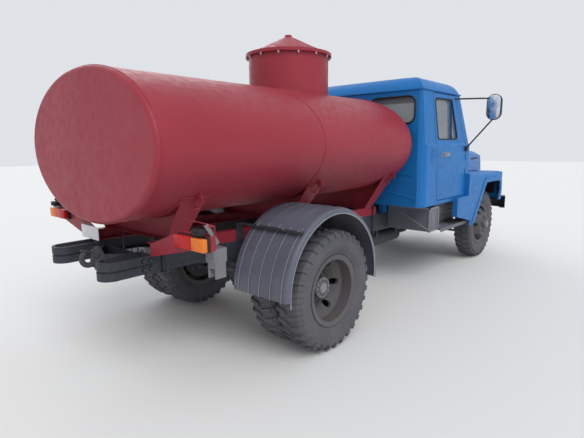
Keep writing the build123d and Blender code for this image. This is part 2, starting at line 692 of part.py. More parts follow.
with BuildPart() as rear_axle:
    with BuildSketch(Plane.XY.offset(TYRE_RADIUS)):
        polygon(
            (REAR_AXLE_X, -SPINDLE_END),
            (REAR_AXLE_X, SPINDLE_END),
            (REAR_AXLE_X + HUB_BORE_RADIUS, SPINDLE_END),
            (REAR_AXLE_X + HUB_BORE_RADIUS, REAR_HUB_Y - 12),
            (REAR_AXLE_X + AXLE_TUBE_RADIUS, REAR_HUB_Y - 12),
            (REAR_AXLE_X + AXLE_TUBE_RADIUS, 240),
            (REAR_AXLE_X + AXLE_TUBE_RADIUS + 45, 120),
            (REAR_AXLE_X + AXLE_TUBE_RADIUS + 45, -120),
            (REAR_AXLE_X + AXLE_TUBE_RADIUS, -240),
            (REAR_AXLE_X + AXLE_TUBE_RADIUS, -REAR_HUB_Y + 12),
            (REAR_AXLE_X + HUB_BORE_RADIUS, -REAR_HUB_Y + 12),
            (REAR_AXLE_X + HUB_BORE_RADIUS, -SPINDLE_END),
        )
    revolve(axis=Axis((REAR_AXLE_X, 0, TYRE_RADIUS), (0, 1, 0)))
    with BuildSketch(Plane.XY.offset(TYRE_RADIUS)):
        polygon(
            (REAR_AXLE_X - BANJO_HALF_DEPTH - 38, 0),
            (REAR_AXLE_X - BANJO_HALF_DEPTH - 30, 80),
            (REAR_AXLE_X - BANJO_HALF_DEPTH + 10, 150),
            (REAR_AXLE_X - 35, BANJO_RADIUS),
            (REAR_AXLE_X + 35, BANJO_RADIUS),
            (REAR_AXLE_X + 110, 120),
            (REAR_AXLE_X + 210, 80),
            (REAR_AXLE_X + 230, 62),
            (REAR_AXLE_X + PINION_LENGTH - 14, 46),
            (REAR_AXLE_X + PINION_LENGTH - 14, 60),
            (REAR_AXLE_X + PINION_LENGTH, 60),
            (REAR_AXLE_X + PINION_LENGTH, 0),
        )
    revolve(axis=Axis((REAR_AXLE_X, 0, TYRE_RADIUS), (1, 0, 0)))
    for side in (-1, 1):
        spring = SPRING_SETS[0]
        stack_low = spring[6] - spring[3] * spring[4]
        with BuildSketch(at_z(TYRE_RADIUS)):
            with Locations((REAR_AXLE_X, side * spring[1])):
                Rectangle(130, spring[2] + 16)
        extrude(amount=stack_low - TYRE_RADIUS - 0.01)
        with BuildSketch(at_y(side * (REAR_HUB_Y - 12))):
            with Locations((REAR_AXLE_X, TYRE_RADIUS)):
                Circle(DRUM_RADIUS - 12)
        extrude(amount=side * BRAKE_PLATE)
write(rear_axle.part, "rear_axle")


# Wheels: a rim and its dished disc, turned about the wheel's axis
# Columns of a profile: radius, distance outboard from the rim's middle plane
def rim_profile(dish):
    """Half section of a rim with its disc dished by this much."""
    half = RIM_HALF_WIDTH
    flange = RIM_FLANGE_RADIUS
    bead = RIM_BEAD_RADIUS
    plate = RIM_PLATE
    side = 1 if dish > 0 else -1
    rim = [
        (flange, -half),
        (flange, -half + plate),
        (bead, -half + plate + 6),
        (bead, half - plate - 6),
        (flange, half - plate),
        (flange, half),
        (flange - plate, half),
        (bead - plate, half - 8),
        (bead - plate, -half + 8),
        (flange - plate, -half),
    ]
    disc = [
        (bead - plate / 2, side * 12),
        (bead - plate / 2, side * 26),
        (bead - 40, side * 62),
        (160, dish),
        (HUB_RADIUS - 4, dish),
        (HUB_RADIUS - 4, dish - side * 12),
        (150, dish - side * 12),
        (bead - 56, side * 52),
    ]
    return rim, disc


def turn_wheel(axle_x, centre_y, outlines):
    """Turn profiles of a right-hand wheel about the axle."""
    for outline in outlines:
        with BuildSketch(at_z(TYRE_RADIUS)) as section:
            polygon(*[(axle_x + radius, centre_y - out) for radius, out in outline])
        revolve(section.sketch, axis=Axis((axle_x, 0, TYRE_RADIUS), (0, 1, 0)))


def cut_hand_holes(axle_x, centre_y, dish):
    side = 1 if dish > 0 else -1
    with BuildSketch(at_y(centre_y - side * 20)) as holes:
        with Locations((axle_x, TYRE_RADIUS)):
            with PolarLocations(196, HAND_HOLES):
                Circle(29)
    extrude(holes.sketch, amount=side * 130, mode=Mode.SUBTRACT)


FRONT_WHEEL_Y = -FRONT_TRACK / 2
FRONT_HUB_OUT = DISC_OFFSET + 42
REAR_OUTER_Y = -REAR_TRACK / 2 - DUAL_SPACING / 2
REAR_INNER_Y = -REAR_TRACK / 2 + DUAL_SPACING / 2
FRONT_SPINDLE_END = FRONT_WHEEL_Y - DISC_OFFSET
FRONT_DRUM_IN = 50
REAR_HUB_OUT = 118

with BuildPart() as front_rim:
    turn_wheel(FRONT_AXLE_X, FRONT_WHEEL_Y, rim_profile(DISC_OFFSET))
    turn_wheel(
        FRONT_AXLE_X,
        FRONT_WHEEL_Y,
        [
            [
                (HUB_BORE_RADIUS + RUNNING_FIT, -FRONT_DRUM_IN),
                (DRUM_RADIUS, -FRONT_DRUM_IN),
                (DRUM_RADIUS, 34),
                (HUB_RADIUS + 20, DISC_OFFSET - 14),
                (HUB_RADIUS, DISC_OFFSET - 12),
                (HUB_RADIUS, DISC_OFFSET + 6),
                (HUB_RADIUS - 14, FRONT_HUB_OUT),
                (0, FRONT_HUB_OUT),
                (0, DISC_OFFSET + 2),
                (HUB_BORE_RADIUS + RUNNING_FIT, DISC_OFFSET + 2),
            ]
        ],
    )
    cut_hand_holes(FRONT_AXLE_X, FRONT_WHEEL_Y, DISC_OFFSET)
write_sides(front_rim, "front_rim")

with BuildPart() as rear_rims:
    turn_wheel(REAR_AXLE_X, REAR_OUTER_Y, rim_profile(-DISC_OFFSET))
    turn_wheel(REAR_AXLE_X, REAR_INNER_Y, rim_profile(DISC_OFFSET))
    turn_wheel(
        REAR_AXLE_X,
        -REAR_TRACK / 2,
        [
            [
                (HUB_BORE_RADIUS + RUNNING_FIT, REAR_HUB_Y - REAR_TRACK / 2),
                (DRUM_RADIUS, REAR_HUB_Y - REAR_TRACK / 2),
                (DRUM_RADIUS, -30),
                (HUB_RADIUS + 40, -14),
                (HUB_RADIUS, -14),
                (HUB_RADIUS, 84),
                (HUB_RADIUS + 6, 86),
                (HUB_RADIUS + 6, 100),
                (HUB_RADIUS - 20, REAR_HUB_OUT),
                (0, REAR_HUB_OUT),
                (0, 40),
                (HUB_BORE_RADIUS + RUNNING_FIT, 40),
            ]
        ],
    )
    cut_hand_holes(REAR_AXLE_X, REAR_OUTER_Y, -DISC_OFFSET)
    cut_hand_holes(REAR_AXLE_X, REAR_INNER_Y, DISC_OFFSET)
write_sides(rear_rims, "rear_rims")


def turn_tyre(axle_x, centre_y):
    """A tyre with open beads: crown, shoulders and bulged sidewalls."""
    half = TYRE_WIDTH / 2
    bead = RIM_BEAD_RADIUS + SEAT
    lip = RIM_HALF_WIDTH - RIM_PLATE - 6 - SEAT
    outside = [
        (bead, lip),
        (RIM_FLANGE_RADIUS + 2, lip + 6),
        (TYRE_RADIUS - 118, half),
        (TYRE_RADIUS - 60, half - 6),
        (TYRE_RADIUS - 12, TREAD_HALF + 6),
        (TYRE_RADIUS, TREAD_HALF - 22),
    ]
    inside = [
        (TYRE_RADIUS - 30, TREAD_HALF - 26),
        (TYRE_RADIUS - 118, half - TYRE_WALL),
        (RIM_FLANGE_RADIUS, lip - TYRE_WALL),
        (bead, lip - TYRE_WALL),
    ]
    far_outside = [(radius, -out) for radius, out in reversed(outside)]
    far_inside = [(radius, -out) for radius, out in reversed(inside)]
    turn_wheel(axle_x, centre_y, [outside + far_outside + far_inside + inside])


with BuildPart() as front_tyre:
    turn_tyre(FRONT_AXLE_X, FRONT_WHEEL_Y)
write_sides(front_tyre, "front_tyre")

with BuildPart() as rear_tyres:
    turn_tyre(REAR_AXLE_X, REAR_OUTER_Y)
    turn_tyre(REAR_AXLE_X, REAR_INNER_Y)
write_sides(rear_tyres, "rear_tyres")

# Front axle: a dropped beam with bosses for the kingpins and pads for the springs
BEAM_LOW_Z = 372
BEAM_HIGH_Z = 444
BEAM_WIDTH = 64
BOSS_RADIUS = 38
BOSS_LOW_Z = 432
BOSS_HIGH_Z = 530

with BuildPart() as front_axle:
    with BuildSketch(at_x(FRONT_AXLE_X - BEAM_WIDTH / 2)):
        polygon(
            (-KINGPIN_Y, BOSS_LOW_Z + 6),
            (-KINGPIN_Y + 60, BOSS_LOW_Z),
            (-KINGPIN_Y + 150, BEAM_LOW_Z),
            (KINGPIN_Y - 150, BEAM_LOW_Z),
            (KINGPIN_Y - 60, BOSS_LOW_Z),
            (KINGPIN_Y, BOSS_LOW_Z + 6),
            (KINGPIN_Y, BOSS_HIGH_Z - 6),
            (KINGPIN_Y - 60, BOSS_HIGH_Z - 10),
            (KINGPIN_Y - 190, BEAM_HIGH_Z),
            (-KINGPIN_Y + 190, BEAM_HIGH_Z),
            (-KINGPIN_Y + 60, BOSS_HIGH_Z - 10),
            (-KINGPIN_Y, BOSS_HIGH_Z - 6),
        )
    extrude(amount=BEAM_WIDTH)
    for face_x, direction in ((FRONT_AXLE_X - BEAM_WIDTH / 2, 1), (FRONT_AXLE_X + BEAM_WIDTH / 2, -1)):
        with BuildSketch(at_x(face_x)):
            with Locations((0, (BEAM_LOW_Z + BEAM_HIGH_Z) / 2)):
                Rectangle(2 * KINGPIN_Y - 420, BEAM_HIGH_Z - BEAM_LOW_Z - 28)
        extrude(amount=direction * (BEAM_WIDTH / 2 - 7), mode=Mode.SUBTRACT)
    for side in (-1, 1):
        with BuildSketch(at_z(BOSS_LOW_Z)):
            with Locations((FRONT_AXLE_X, side * KINGPIN_Y)):
                Circle(BOSS_RADIUS)
        extrude(amount=BOSS_HIGH_Z - BOSS_LOW_Z)
        spring = SPRING_SETS[1]
        stack_low = spring[6] - spring[3] * spring[4]
        with BuildSketch(at_z(BEAM_HIGH_Z - 10)):
            with Locations((FRONT_AXLE_X, side * spring[1])):
                Rectangle(120, spring[2] + 14)
        extrude(amount=stack_low - BEAM_HIGH_Z + 10 - 0.01)
    for side in (-1, 1):
        with BuildSketch(at_z(BOSS_LOW_Z)):
            with Locations((FRONT_AXLE_X, side * KINGPIN_Y)):
                Circle(KINGPIN_RADIUS + RUNNING_FIT)
        extrude(amount=BOSS_HIGH_Z - BOSS_LOW_Z, mode=Mode.SUBTRACT)
write(front_axle.part, "front_axle")

# Steering knuckles: a fork round the axle's boss, a spindle, a brake plate and an arm
FORK_GAP = 5
FORK_PLATE = 28
KNUCKLE_BACK_Y = 742
BRAKE_PLATE_Y = FRONT_TRACK / 2 - FRONT_DRUM_IN - 12
ARM_THICK = 24

with BuildPart() as knuckle:
    for low_z in (BOSS_LOW_Z - FORK_GAP - FORK_PLATE, BOSS_HIGH_Z + FORK_GAP):
        with BuildSketch(at_z(low_z)):
            with Locations((FRONT_AXLE_X, -KINGPIN_Y)):
                Circle(BOSS_RADIUS)
            with Locations((FRONT_AXLE_X, -(KINGPIN_Y + KNUCKLE_BACK_Y) / 2)):
                Rectangle(2 * BOSS_RADIUS, KNUCKLE_BACK_Y - KINGPIN_Y)
        extrude(amount=FORK_PLATE)
    with BuildSketch(at_z(BOSS_LOW_Z - FORK_GAP - FORK_PLATE)):
        with Locations((FRONT_AXLE_X, -(KNUCKLE_BACK_Y + BRAKE_PLATE_Y) / 2)):
            Rectangle(2 * BOSS_RADIUS, BRAKE_PLATE_Y - KNUCKLE_BACK_Y + 8)
    extrude(amount=BOSS_HIGH_Z - BOSS_LOW_Z + 2 * FORK_GAP + 2 * FORK_PLATE)
    with BuildSketch(at_z(BOSS_LOW_Z - FORK_GAP - FORK_PLATE)):
        with Locations((FRONT_AXLE_X, -KINGPIN_Y)):
            Circle(KINGPIN_RADIUS)
    extrude(amount=BOSS_HIGH_Z - BOSS_LOW_Z + 2 * FORK_GAP + 2 * FORK_PLATE)
    with BuildSketch(at_y(-BRAKE_PLATE_Y)):
        with Locations((FRONT_AXLE_X, TYRE_RADIUS)):
            Circle(DRUM_RADIUS - 12)
    extrude(amount=BRAKE_PLATE)
    with BuildSketch(at_y(-BRAKE_PLATE_Y)):
        with Locations((FRONT_AXLE_X, TYRE_RADIUS)):
            Circle(HUB_BORE_RADIUS)
    extrude(amount=-FRONT_SPINDLE_END - BRAKE_PLATE_Y)
    with BuildSketch(at_z(BOSS_LOW_Z - FORK_GAP - FORK_PLATE)):
        with Locations((FRONT_AXLE_X - STEER_ARM_LENGTH / 2, -KINGPIN_Y)):
            Rectangle(STEER_ARM_LENGTH, 44)
        with Locations((FRONT_AXLE_X - STEER_ARM_LENGTH, -KINGPIN_Y)):
            Circle(24)
    extrude(amount=FORK_PLATE)
    with BuildSketch(at_z(TRACK_ROD_Z - 52)):
        with Locations((FRONT_AXLE_X - STEER_ARM_LENGTH, -KINGPIN_Y)):
            Circle(10)
    extrude(amount=60)
write_sides(knuckle, "knuckle")

# Track rod between the ends of the two steering arms
ROD_EYE_LOW_Z = TRACK_ROD_Z - 50
ROD_EYE_HIGH_Z = BOSS_LOW_Z - FORK_GAP - FORK_PLATE - 6
ROD_EYE_RADIUS = 24
ROD_X = FRONT_AXLE_X - STEER_ARM_LENGTH
ROD_AXIS_Z = (ROD_EYE_LOW_Z + ROD_EYE_HIGH_Z) / 2

with BuildPart() as track_rod:
    with BuildSketch(at_y(0)):
        with Locations((ROD_X, ROD_AXIS_Z)):
            Circle(TRACK_ROD_RADIUS)
    extrude(amount=KINGPIN_Y - 12, both=True)
    for side in (-1, 1):
        with BuildSketch(at_z(ROD_EYE_LOW_Z)):
            with Locations((ROD_X, side * KINGPIN_Y)):
                Circle(ROD_EYE_RADIUS)
        extrude(amount=ROD_EYE_HIGH_Z - ROD_EYE_LOW_Z)
    for side in (-1, 1):
        with BuildSketch(at_z(ROD_EYE_LOW_Z - 2)):
            with Locations((ROD_X, side * KINGPIN_Y)):
                Circle(10 + RUNNING_FIT)
        extrude(amount=ROD_EYE_HIGH_Z - ROD_EYE_LOW_Z + 4, mode=Mode.SUBTRACT)
write(track_rod.part, "track_rod")

# Engine and gearbox as one plain block, on arms to the frame, and the radiator
ENGINE_REAR_X = FRONT_AXLE_X - 750
ENGINE_FRONT_X = FRONT_AXLE_X + 250
ENGINE_HALF_WIDTH = 290
ENGINE_LOW_Z = 500
ENGINE_HIGH_Z = 1180
GEARBOX_REAR_X = ENGINE_REAR_X - 560
GEARBOX_HALF_WIDTH = 165
GEARBOX_HIGH_Z = 850
ENGINE_ARM_STATIONS = [ENGINE_REAR_X + 120, ENGINE_FRONT_X - 390]

with BuildPart() as engine_block:
    with BuildSketch(at_y(0)):
        polygon(
            (GEARBOX_REAR_X, ENGINE_LOW_Z),
            (ENGINE_REAR_X + 60, ENGINE_LOW_Z),
            (ENGINE_REAR_X + 60, GEARBOX_HIGH_Z),
            (GEARBOX_REAR_X, GEARBOX_HIGH_Z - 90),
        )
    extrude(amount=GEARBOX_HALF_WIDTH, both=True)
    with BuildSketch(at_y(0)):
        polygon(
            (ENGINE_REAR_X, ENGINE_LOW_Z + 60),
            (ENGINE_FRONT_X - 160, ENGINE_LOW_Z + 60),
            (ENGINE_FRONT_X, ENGINE_LOW_Z + 140),
            (ENGINE_FRONT_X, ENGINE_HIGH_Z - 130),
            (ENGINE_FRONT_X - 120, ENGINE_HIGH_Z),
            (ENGINE_REAR_X, ENGINE_HIGH_Z),
        )
    extrude(amount=ENGINE_HALF_WIDTH, both=True)
    for x in ENGINE_ARM_STATIONS:
        with BuildSketch(at_y(0)):
            with Locations((x, frame_top(x) - 100)):
                Rectangle(70, 60)
        extrude(amount=WEB_INSIDE, both=True)
write(engine_block.part, "engine_block")

RADIATOR_DEPTH = 70
RADIATOR_X = CROSS_STATIONS[-1] - RADIATOR_DEPTH / 2
RADIATOR_LOW_Z = frame_top(CROSS_STATIONS[-1]) - FRAME_PLATE - CROSS_FIT
RADIATOR_HEIGHT = 440
RADIATOR_WIDTH = 720
RADIATOR_BORDER = 50

with BuildPart() as radiator:
    middle = (0, RADIATOR_LOW_Z + RADIATOR_HEIGHT / 2)
    with BuildSketch(at_x(RADIATOR_X)):
        with Locations(middle):
            Rectangle(RADIATOR_WIDTH, RADIATOR_HEIGHT)
    extrude(amount=RADIATOR_DEPTH)
    with BuildSketch(at_x(RADIATOR_X + RADIATOR_DEPTH - 8)):
        with Locations(middle):
            Rectangle(RADIATOR_WIDTH - 2 * RADIATOR_BORDER, RADIATOR_HEIGHT - 2 * RADIATOR_BORDER)
    extrude(amount=10, mode=Mode.SUBTRACT)
write(radiator.part, "radiator")

# Propeller shaft: gearbox to centre bearing to the rear axle's pinion
SHAFT_RADIUS = 38
SHAFT_FRONT_Z = 560
SHAFT_MIDDLE_X = CROSS_STATIONS[2]
SHAFT_MIDDLE_Z = 548

with BuildPart() as propeller_shaft:
    joints = [
        (REAR_AXLE_X + PINION_LENGTH, TYRE_RADIUS),
        (SHAFT_MIDDLE_X, SHAFT_MIDDLE_Z),
        (GEARBOX_REAR_X, SHAFT_FRONT_Z),
    ]
    for (x0, z0), (x1, z1) in zip(joints, joints[1:]):
        with BuildSketch(Plane(origin=(x0, 0, z0), z_dir=(x1 - x0, 0, z1 - z0))):
            Circle(SHAFT_RADIUS)
        extrude(amount=sqrt((x1 - x0) ** 2 + (z1 - z0) ** 2))
    with BuildSketch(at_x(SHAFT_MIDDLE_X - 25)):
        with Locations((0, SHAFT_MIDDLE_Z)):
            Circle(SHAFT_RADIUS + 28)
        with Locations((0, (SHAFT_MIDDLE_Z + frame_top(SHAFT_MIDDLE_X) - FRAME_FULL_DEPTH + 11) / 2)):
            Rectangle(150, frame_top(SHAFT_MIDDLE_X) - FRAME_FULL_DEPTH + 11 - SHAFT_MIDDLE_Z)
    extrude(amount=50)
    for x, reach in ((REAR_AXLE_X + PINION_LENGTH, -200), (GEARBOX_REAR_X, 200)):
        with BuildSketch(at_x(x)):
            with Locations((0, TYRE_RADIUS)):
                Rectangle(400, 600)
        extrude(amount=reach, mode=Mode.SUBTRACT)
write(propeller_shaft.part, "propeller_shaft")

# Battery box behind the right step, hung on the frame
BATTERY_REAR_X = CAB_REAR_X + 252
BATTERY_LENGTH = 230
BATTERY_OUTER_Y = 950
BATTERY_LOW_Z = 632
BATTERY_HIGH_Z = 905
BATTERY_LID = 30
BATTERY_LIP = 5
BATTERY_STRAP = 22

with BuildPart() as battery_box:
    with BuildSketch(at_y(-FRAME_HALF_WIDTH)):
        with Locations((BATTERY_REAR_X + BATTERY_LENGTH / 2, (BATTERY_LOW_Z + BATTERY_HIGH_Z) / 2)):
            RectangleRounded(BATTERY_LENGTH, BATTERY_HIGH_Z - BATTERY_LOW_Z, 14)
    extrude(amount=BATTERY_OUTER_Y - FRAME_HALF_WIDTH)
    with BuildSketch(at_y(-FRAME_HALF_WIDTH - 20)):
        with Locations((BATTERY_REAR_X + BATTERY_LENGTH / 2, BATTERY_HIGH_Z - BATTERY_LID / 2)):
            RectangleRounded(BATTERY_LENGTH + 2 * BATTERY_LIP, BATTERY_LID, 8)
    extrude(amount=BATTERY_OUTER_Y - FRAME_HALF_WIDTH - 20 + BATTERY_LIP)
    for strap_x in (BATTERY_REAR_X + 50, BATTERY_REAR_X + BATTERY_LENGTH - 50):
        with BuildSketch(at_y(-BATTERY_OUTER_Y + BATTERY_LIP)):
            with Locations((strap_x, (BATTERY_LOW_Z + BATTERY_HIGH_Z) / 2 - BATTERY_LID)):
                Rectangle(BATTERY_STRAP, BATTERY_HIGH_Z - BATTERY_LOW_Z - 2 * BATTERY_LID)
        extrude(amount=BATTERY_LIP + 4)
write(battery_box.part, "battery_box")

# Fuel tank on the left, on two bracket arms from the frame
FUEL_LENGTH = 0.675 * (CAB_REAR_X - GUARD_X - GUARD_RADIUS)
FUEL_REAR_X = CAB_REAR_X - 30 - FUEL_LENGTH
FUEL_Y = 712
FUEL_Z = 600
FUEL_WIDTH = 420
FUEL_HEIGHT = 380
FUEL_CORNER = 110

with BuildPart() as fuel_tank:
    with BuildSketch(at_x(FUEL_REAR_X)):
        with Locations((FUEL_Y, FUEL_Z)):
            RectangleRounded(FUEL_WIDTH, FUEL_HEIGHT, FUEL_CORNER)
    extrude(amount=FUEL_LENGTH)
    for x in (FUEL_REAR_X + FUEL_LENGTH / 6, FUEL_REAR_X + 5 * FUEL_LENGTH / 6):
        with BuildSketch(at_x(x - 25)):
            with Locations((FUEL_Y, FUEL_Z)):
                RectangleRounded(FUEL_WIDTH + 16, FUEL_HEIGHT + 16, FUEL_CORNER + 8)
            with Locations(((FRAME_HALF_WIDTH + FUEL_Y) / 2, FUEL_Z + 95)):
                Rectangle(FUEL_Y - FRAME_HALF_WIDTH, 150)
        extrude(amount=50)
write(fuel_tank.part, "fuel_tank")

# Silencer between the rails, with its pipes and hangers
SILENCER_REAR_X = CAB_REAR_X + 10
SILENCER_LENGTH = 640
SILENCER_Y = -300
SILENCER_Z = 490
SILENCER_RADIUS = 85
PIPE_RADIUS = 28

with BuildPart() as silencer:
    with BuildSketch(at_x(SILENCER_REAR_X)):
        with Locations((SILENCER_Y, SILENCER_Z)):
            Circle(SILENCER_RADIUS)
    extrude(amount=SILENCER_LENGTH)
    with BuildSketch(at_x(SILENCER_REAR_X - 260)):
        with Locations((SILENCER_Y, SILENCER_Z)):
            Circle(PIPE_RADIUS)
    extrude(amount=SILENCER_LENGTH + 560)
    for x in (SILENCER_REAR_X + 90, SILENCER_REAR_X + SILENCER_LENGTH - 90):
        hang_z = frame_top(x + 20) - FRAME_FULL_DEPTH
        with BuildSketch(at_x(x - 20)):
            with Locations((SILENCER_Y - 74, (SILENCER_Z + hang_z) / 2)):
                Rectangle(12, hang_z - SILENCER_Z)
        extrude(amount=40)
write(silencer.part, "silencer")


# Cab: the same closed form drawn in by different amounts gives walls, doors and glass
def cab_form(inset):
    low = CAB_BOTTOM_Z + inset
    with BuildPart() as form:
        with BuildSketch(Plane.XZ):
            with BuildLine():
                Polyline(
                    (CAB_REAR_X, GUTTER_Z),
                    (CAB_REAR_X, CAB_BOTTOM_Z),
                    (CAB_FRONT_X, CAB_BOTTOM_Z),
                    (CAB_FRONT_X, BELT_Z),
                    (CAB_FRONT_X - 320, GUTTER_Z + 46),
                )
                ThreePointArc(
                    (CAB_FRONT_X - 320, GUTTER_Z + 46),
                    (CAB_FRONT_X - 362, ROOF_Z - 66),
                    (CAB_FRONT_X - 455, ROOF_Z - 27),
                )
                ThreePointArc(
                    (CAB_FRONT_X - 455, ROOF_Z - 27),
                    (CAB_REAR_X + 530, ROOF_Z),
                    (CAB_REAR_X + 220, ROOF_Z - 27),
                )
                ThreePointArc(
                    (CAB_REAR_X + 220, ROOF_Z - 27),
                    (CAB_REAR_X + 60, ROOF_Z - 92),
                    (CAB_REAR_X, GUTTER_Z),
                )
            make_face()
            if inset:
                offset(amount=-inset)
        extrude(amount=CAB_HALF_WIDTH + 10, both=True)
        with BuildSketch(Plane.YZ):
            with BuildLine():
                Polyline(
                    (-GUTTER_HALF_WIDTH, GUTTER_Z),
                    (-CAB_HALF_WIDTH + BELT_STEP, BELT_Z + BELT_STEP),
                    (-CAB_HALF_WIDTH, BELT_Z - BELT_STEP / 2),
                    (-CAB_HALF_WIDTH, CAB_BOTTOM_Z),
                    (CAB_HALF_WIDTH, CAB_BOTTOM_Z),
                    (CAB_HALF_WIDTH, BELT_Z - BELT_STEP / 2),
                    (CAB_HALF_WIDTH - BELT_STEP, BELT_Z + BELT_STEP),
                    (GUTTER_HALF_WIDTH, GUTTER_Z),
                )
                for side in (-1, 1):
                    ThreePointArc(
                        (side * GUTTER_HALF_WIDTH, GUTTER_Z),
                        (side * (GUTTER_HALF_WIDTH - 52), ROOF_Z - 92),
                        (side * (GUTTER_HALF_WIDTH - 210), ROOF_Z - 40),
                    )
                ThreePointArc(
                    (-GUTTER_HALF_WIDTH + 210, ROOF_Z - 40),
                    (0, ROOF_Z),
                    (GUTTER_HALF_WIDTH - 210, ROOF_Z - 40),
                )
            make_face()
            if inset:
                offset(amount=-inset)
        extrude(amount=LENGTH / 2, both=True, mode=Mode.INTERSECT)
        with BuildSketch(at_z(low)):
            plan_rear = CAB_REAR_X - CORNER_EASE
            plan_half = CAB_HALF_WIDTH + CORNER_EASE - inset
            with Locations(((plan_rear + CAB_FRONT_X) / 2, 0)):
                RectangleRounded(
                    CAB_FRONT_X - plan_rear - 2 * inset,
                    2 * plan_half,
                    CAB_CORNER_RADIUS - inset,
                )
            with Locations((CAB_FRONT_X - 200, 0)):
                Rectangle(400 - 2 * inset, 2 * plan_half)
        extrude(amount=ROOF_Z, mode=Mode.INTERSECT)
    return form.part


# Door outline, seen from the right, and its window
DOOR_FRONT_X = CAB_FRONT_X - 105
DOOR_POINTS = [
    (CAB_REAR_X + 365, 985),
    (CAB_REAR_X + 322, BELT_Z - 7),
    (CAB_REAR_X + 258, 2150),
    (DOOR_FRONT_X - 332, 2160),
    (DOOR_FRONT_X, 1557),
    (DOOR_FRONT_X, 1200),
    (DOOR_FRONT_X - 34, 976),
]
WINDOW_POINTS = [
    (CAB_REAR_X + 380, 1662),
    (CAB_REAR_X + 308, 2098),
    (DOOR_FRONT_X - 428, 2108),
    (DOOR_FRONT_X - 260, 1665),
]
VENT_BAR_X = DOOR_FRONT_X - 454
VENT_BAR = 22
CORNER_RADIUS = 26


def door_outline(grow):
    polygon(*DOOR_POINTS)
    fillet(vertices(), radius=CORNER_RADIUS)
    if grow:
        offset(amount=grow)


def window_outline(grow):
    polygon(*WINDOW_POINTS)
    fillet(vertices(), radius=CORNER_RADIUS * 1.4)
    if grow:
        offset(amount=grow)


# Rear windows and windscreen, seen along the truck
REAR_WINDOW_Y = 585
REAR_WINDOW_Z = 1968
REAR_WINDOW_WIDTH = 530
REAR_WINDOW_HEIGHT = 275
REAR_WINDOW_CORNER = 75
SCREEN_POINTS = [(-850, 1668), (-770, 2140), (770, 2140), (850, 1668)]
SCREEN_CORNER = 80


def rear_window_outline(shrink):
    for side in (-1, 1):
        with Locations((side * REAR_WINDOW_Y, REAR_WINDOW_Z)):
            RectangleRounded(
                REAR_WINDOW_WIDTH - 2 * shrink,
                REAR_WINDOW_HEIGHT - 2 * shrink,
                REAR_WINDOW_CORNER - shrink,
            )


def screen_outline(shrink):
    polygon(*SCREEN_POINTS)
    fillet(vertices(), radius=SCREEN_CORNER)
    if shrink:
        offset(amount=-shrink)


# Hinges: pins held by the cab, turning in barrels of the doors and the bonnet.
# The door's axis lies in its skin, so the shut line opens as the door turns.
DOOR_HINGE_X = DOOR_FRONT_X - 10
DOOR_HINGE_Y = CAB_HALF_WIDTH
DOOR_HINGE_STATIONS = [1270, 1450]
DOOR_LUG_HEIGHT = 40
DOOR_LUG_RADIUS = 9
DOOR_LUG_CLEARANCE = 5
PIN_RADIUS = 5
PIN_REACH = 18
BONNET_HINGE_X = CAB_FRONT_X + 15
BONNET_HINGE_Z = BELT_Z + 2
BONNET_HINGE_Y = 560
BARREL_RADIUS = 8
BARREL_LENGTH = 30

cab_outer = cab_form(0)
cab_inner = cab_form(CAB_WALL)
SIDE_REACH = CAB_HALF_WIDTH - 200
GUTTER_REACH = 16
GUTTER_HEIGHT = 12
REAR_PRESS_LINES = [1724, 1267]
PRESS_HEIGHT = 14
PRESS_DEPTH = 5

with BuildPart() as gutter_band:
    with BuildSketch(at_z(GUTTER_Z + 2)):
        with Locations(((CAB_REAR_X + CAB_FRONT_X) / 2, 0)):
            Rectangle(2 * CAB_FRONT_X, 3 * CAB_HALF_WIDTH)
    extrude(amount=GUTTER_HEIGHT)
    add(cab_form(-GUTTER_REACH), mode=Mode.INTERSECT)
    add(cab_outer, mode=Mode.SUBTRACT)
cab_gutter = gutter_band.part

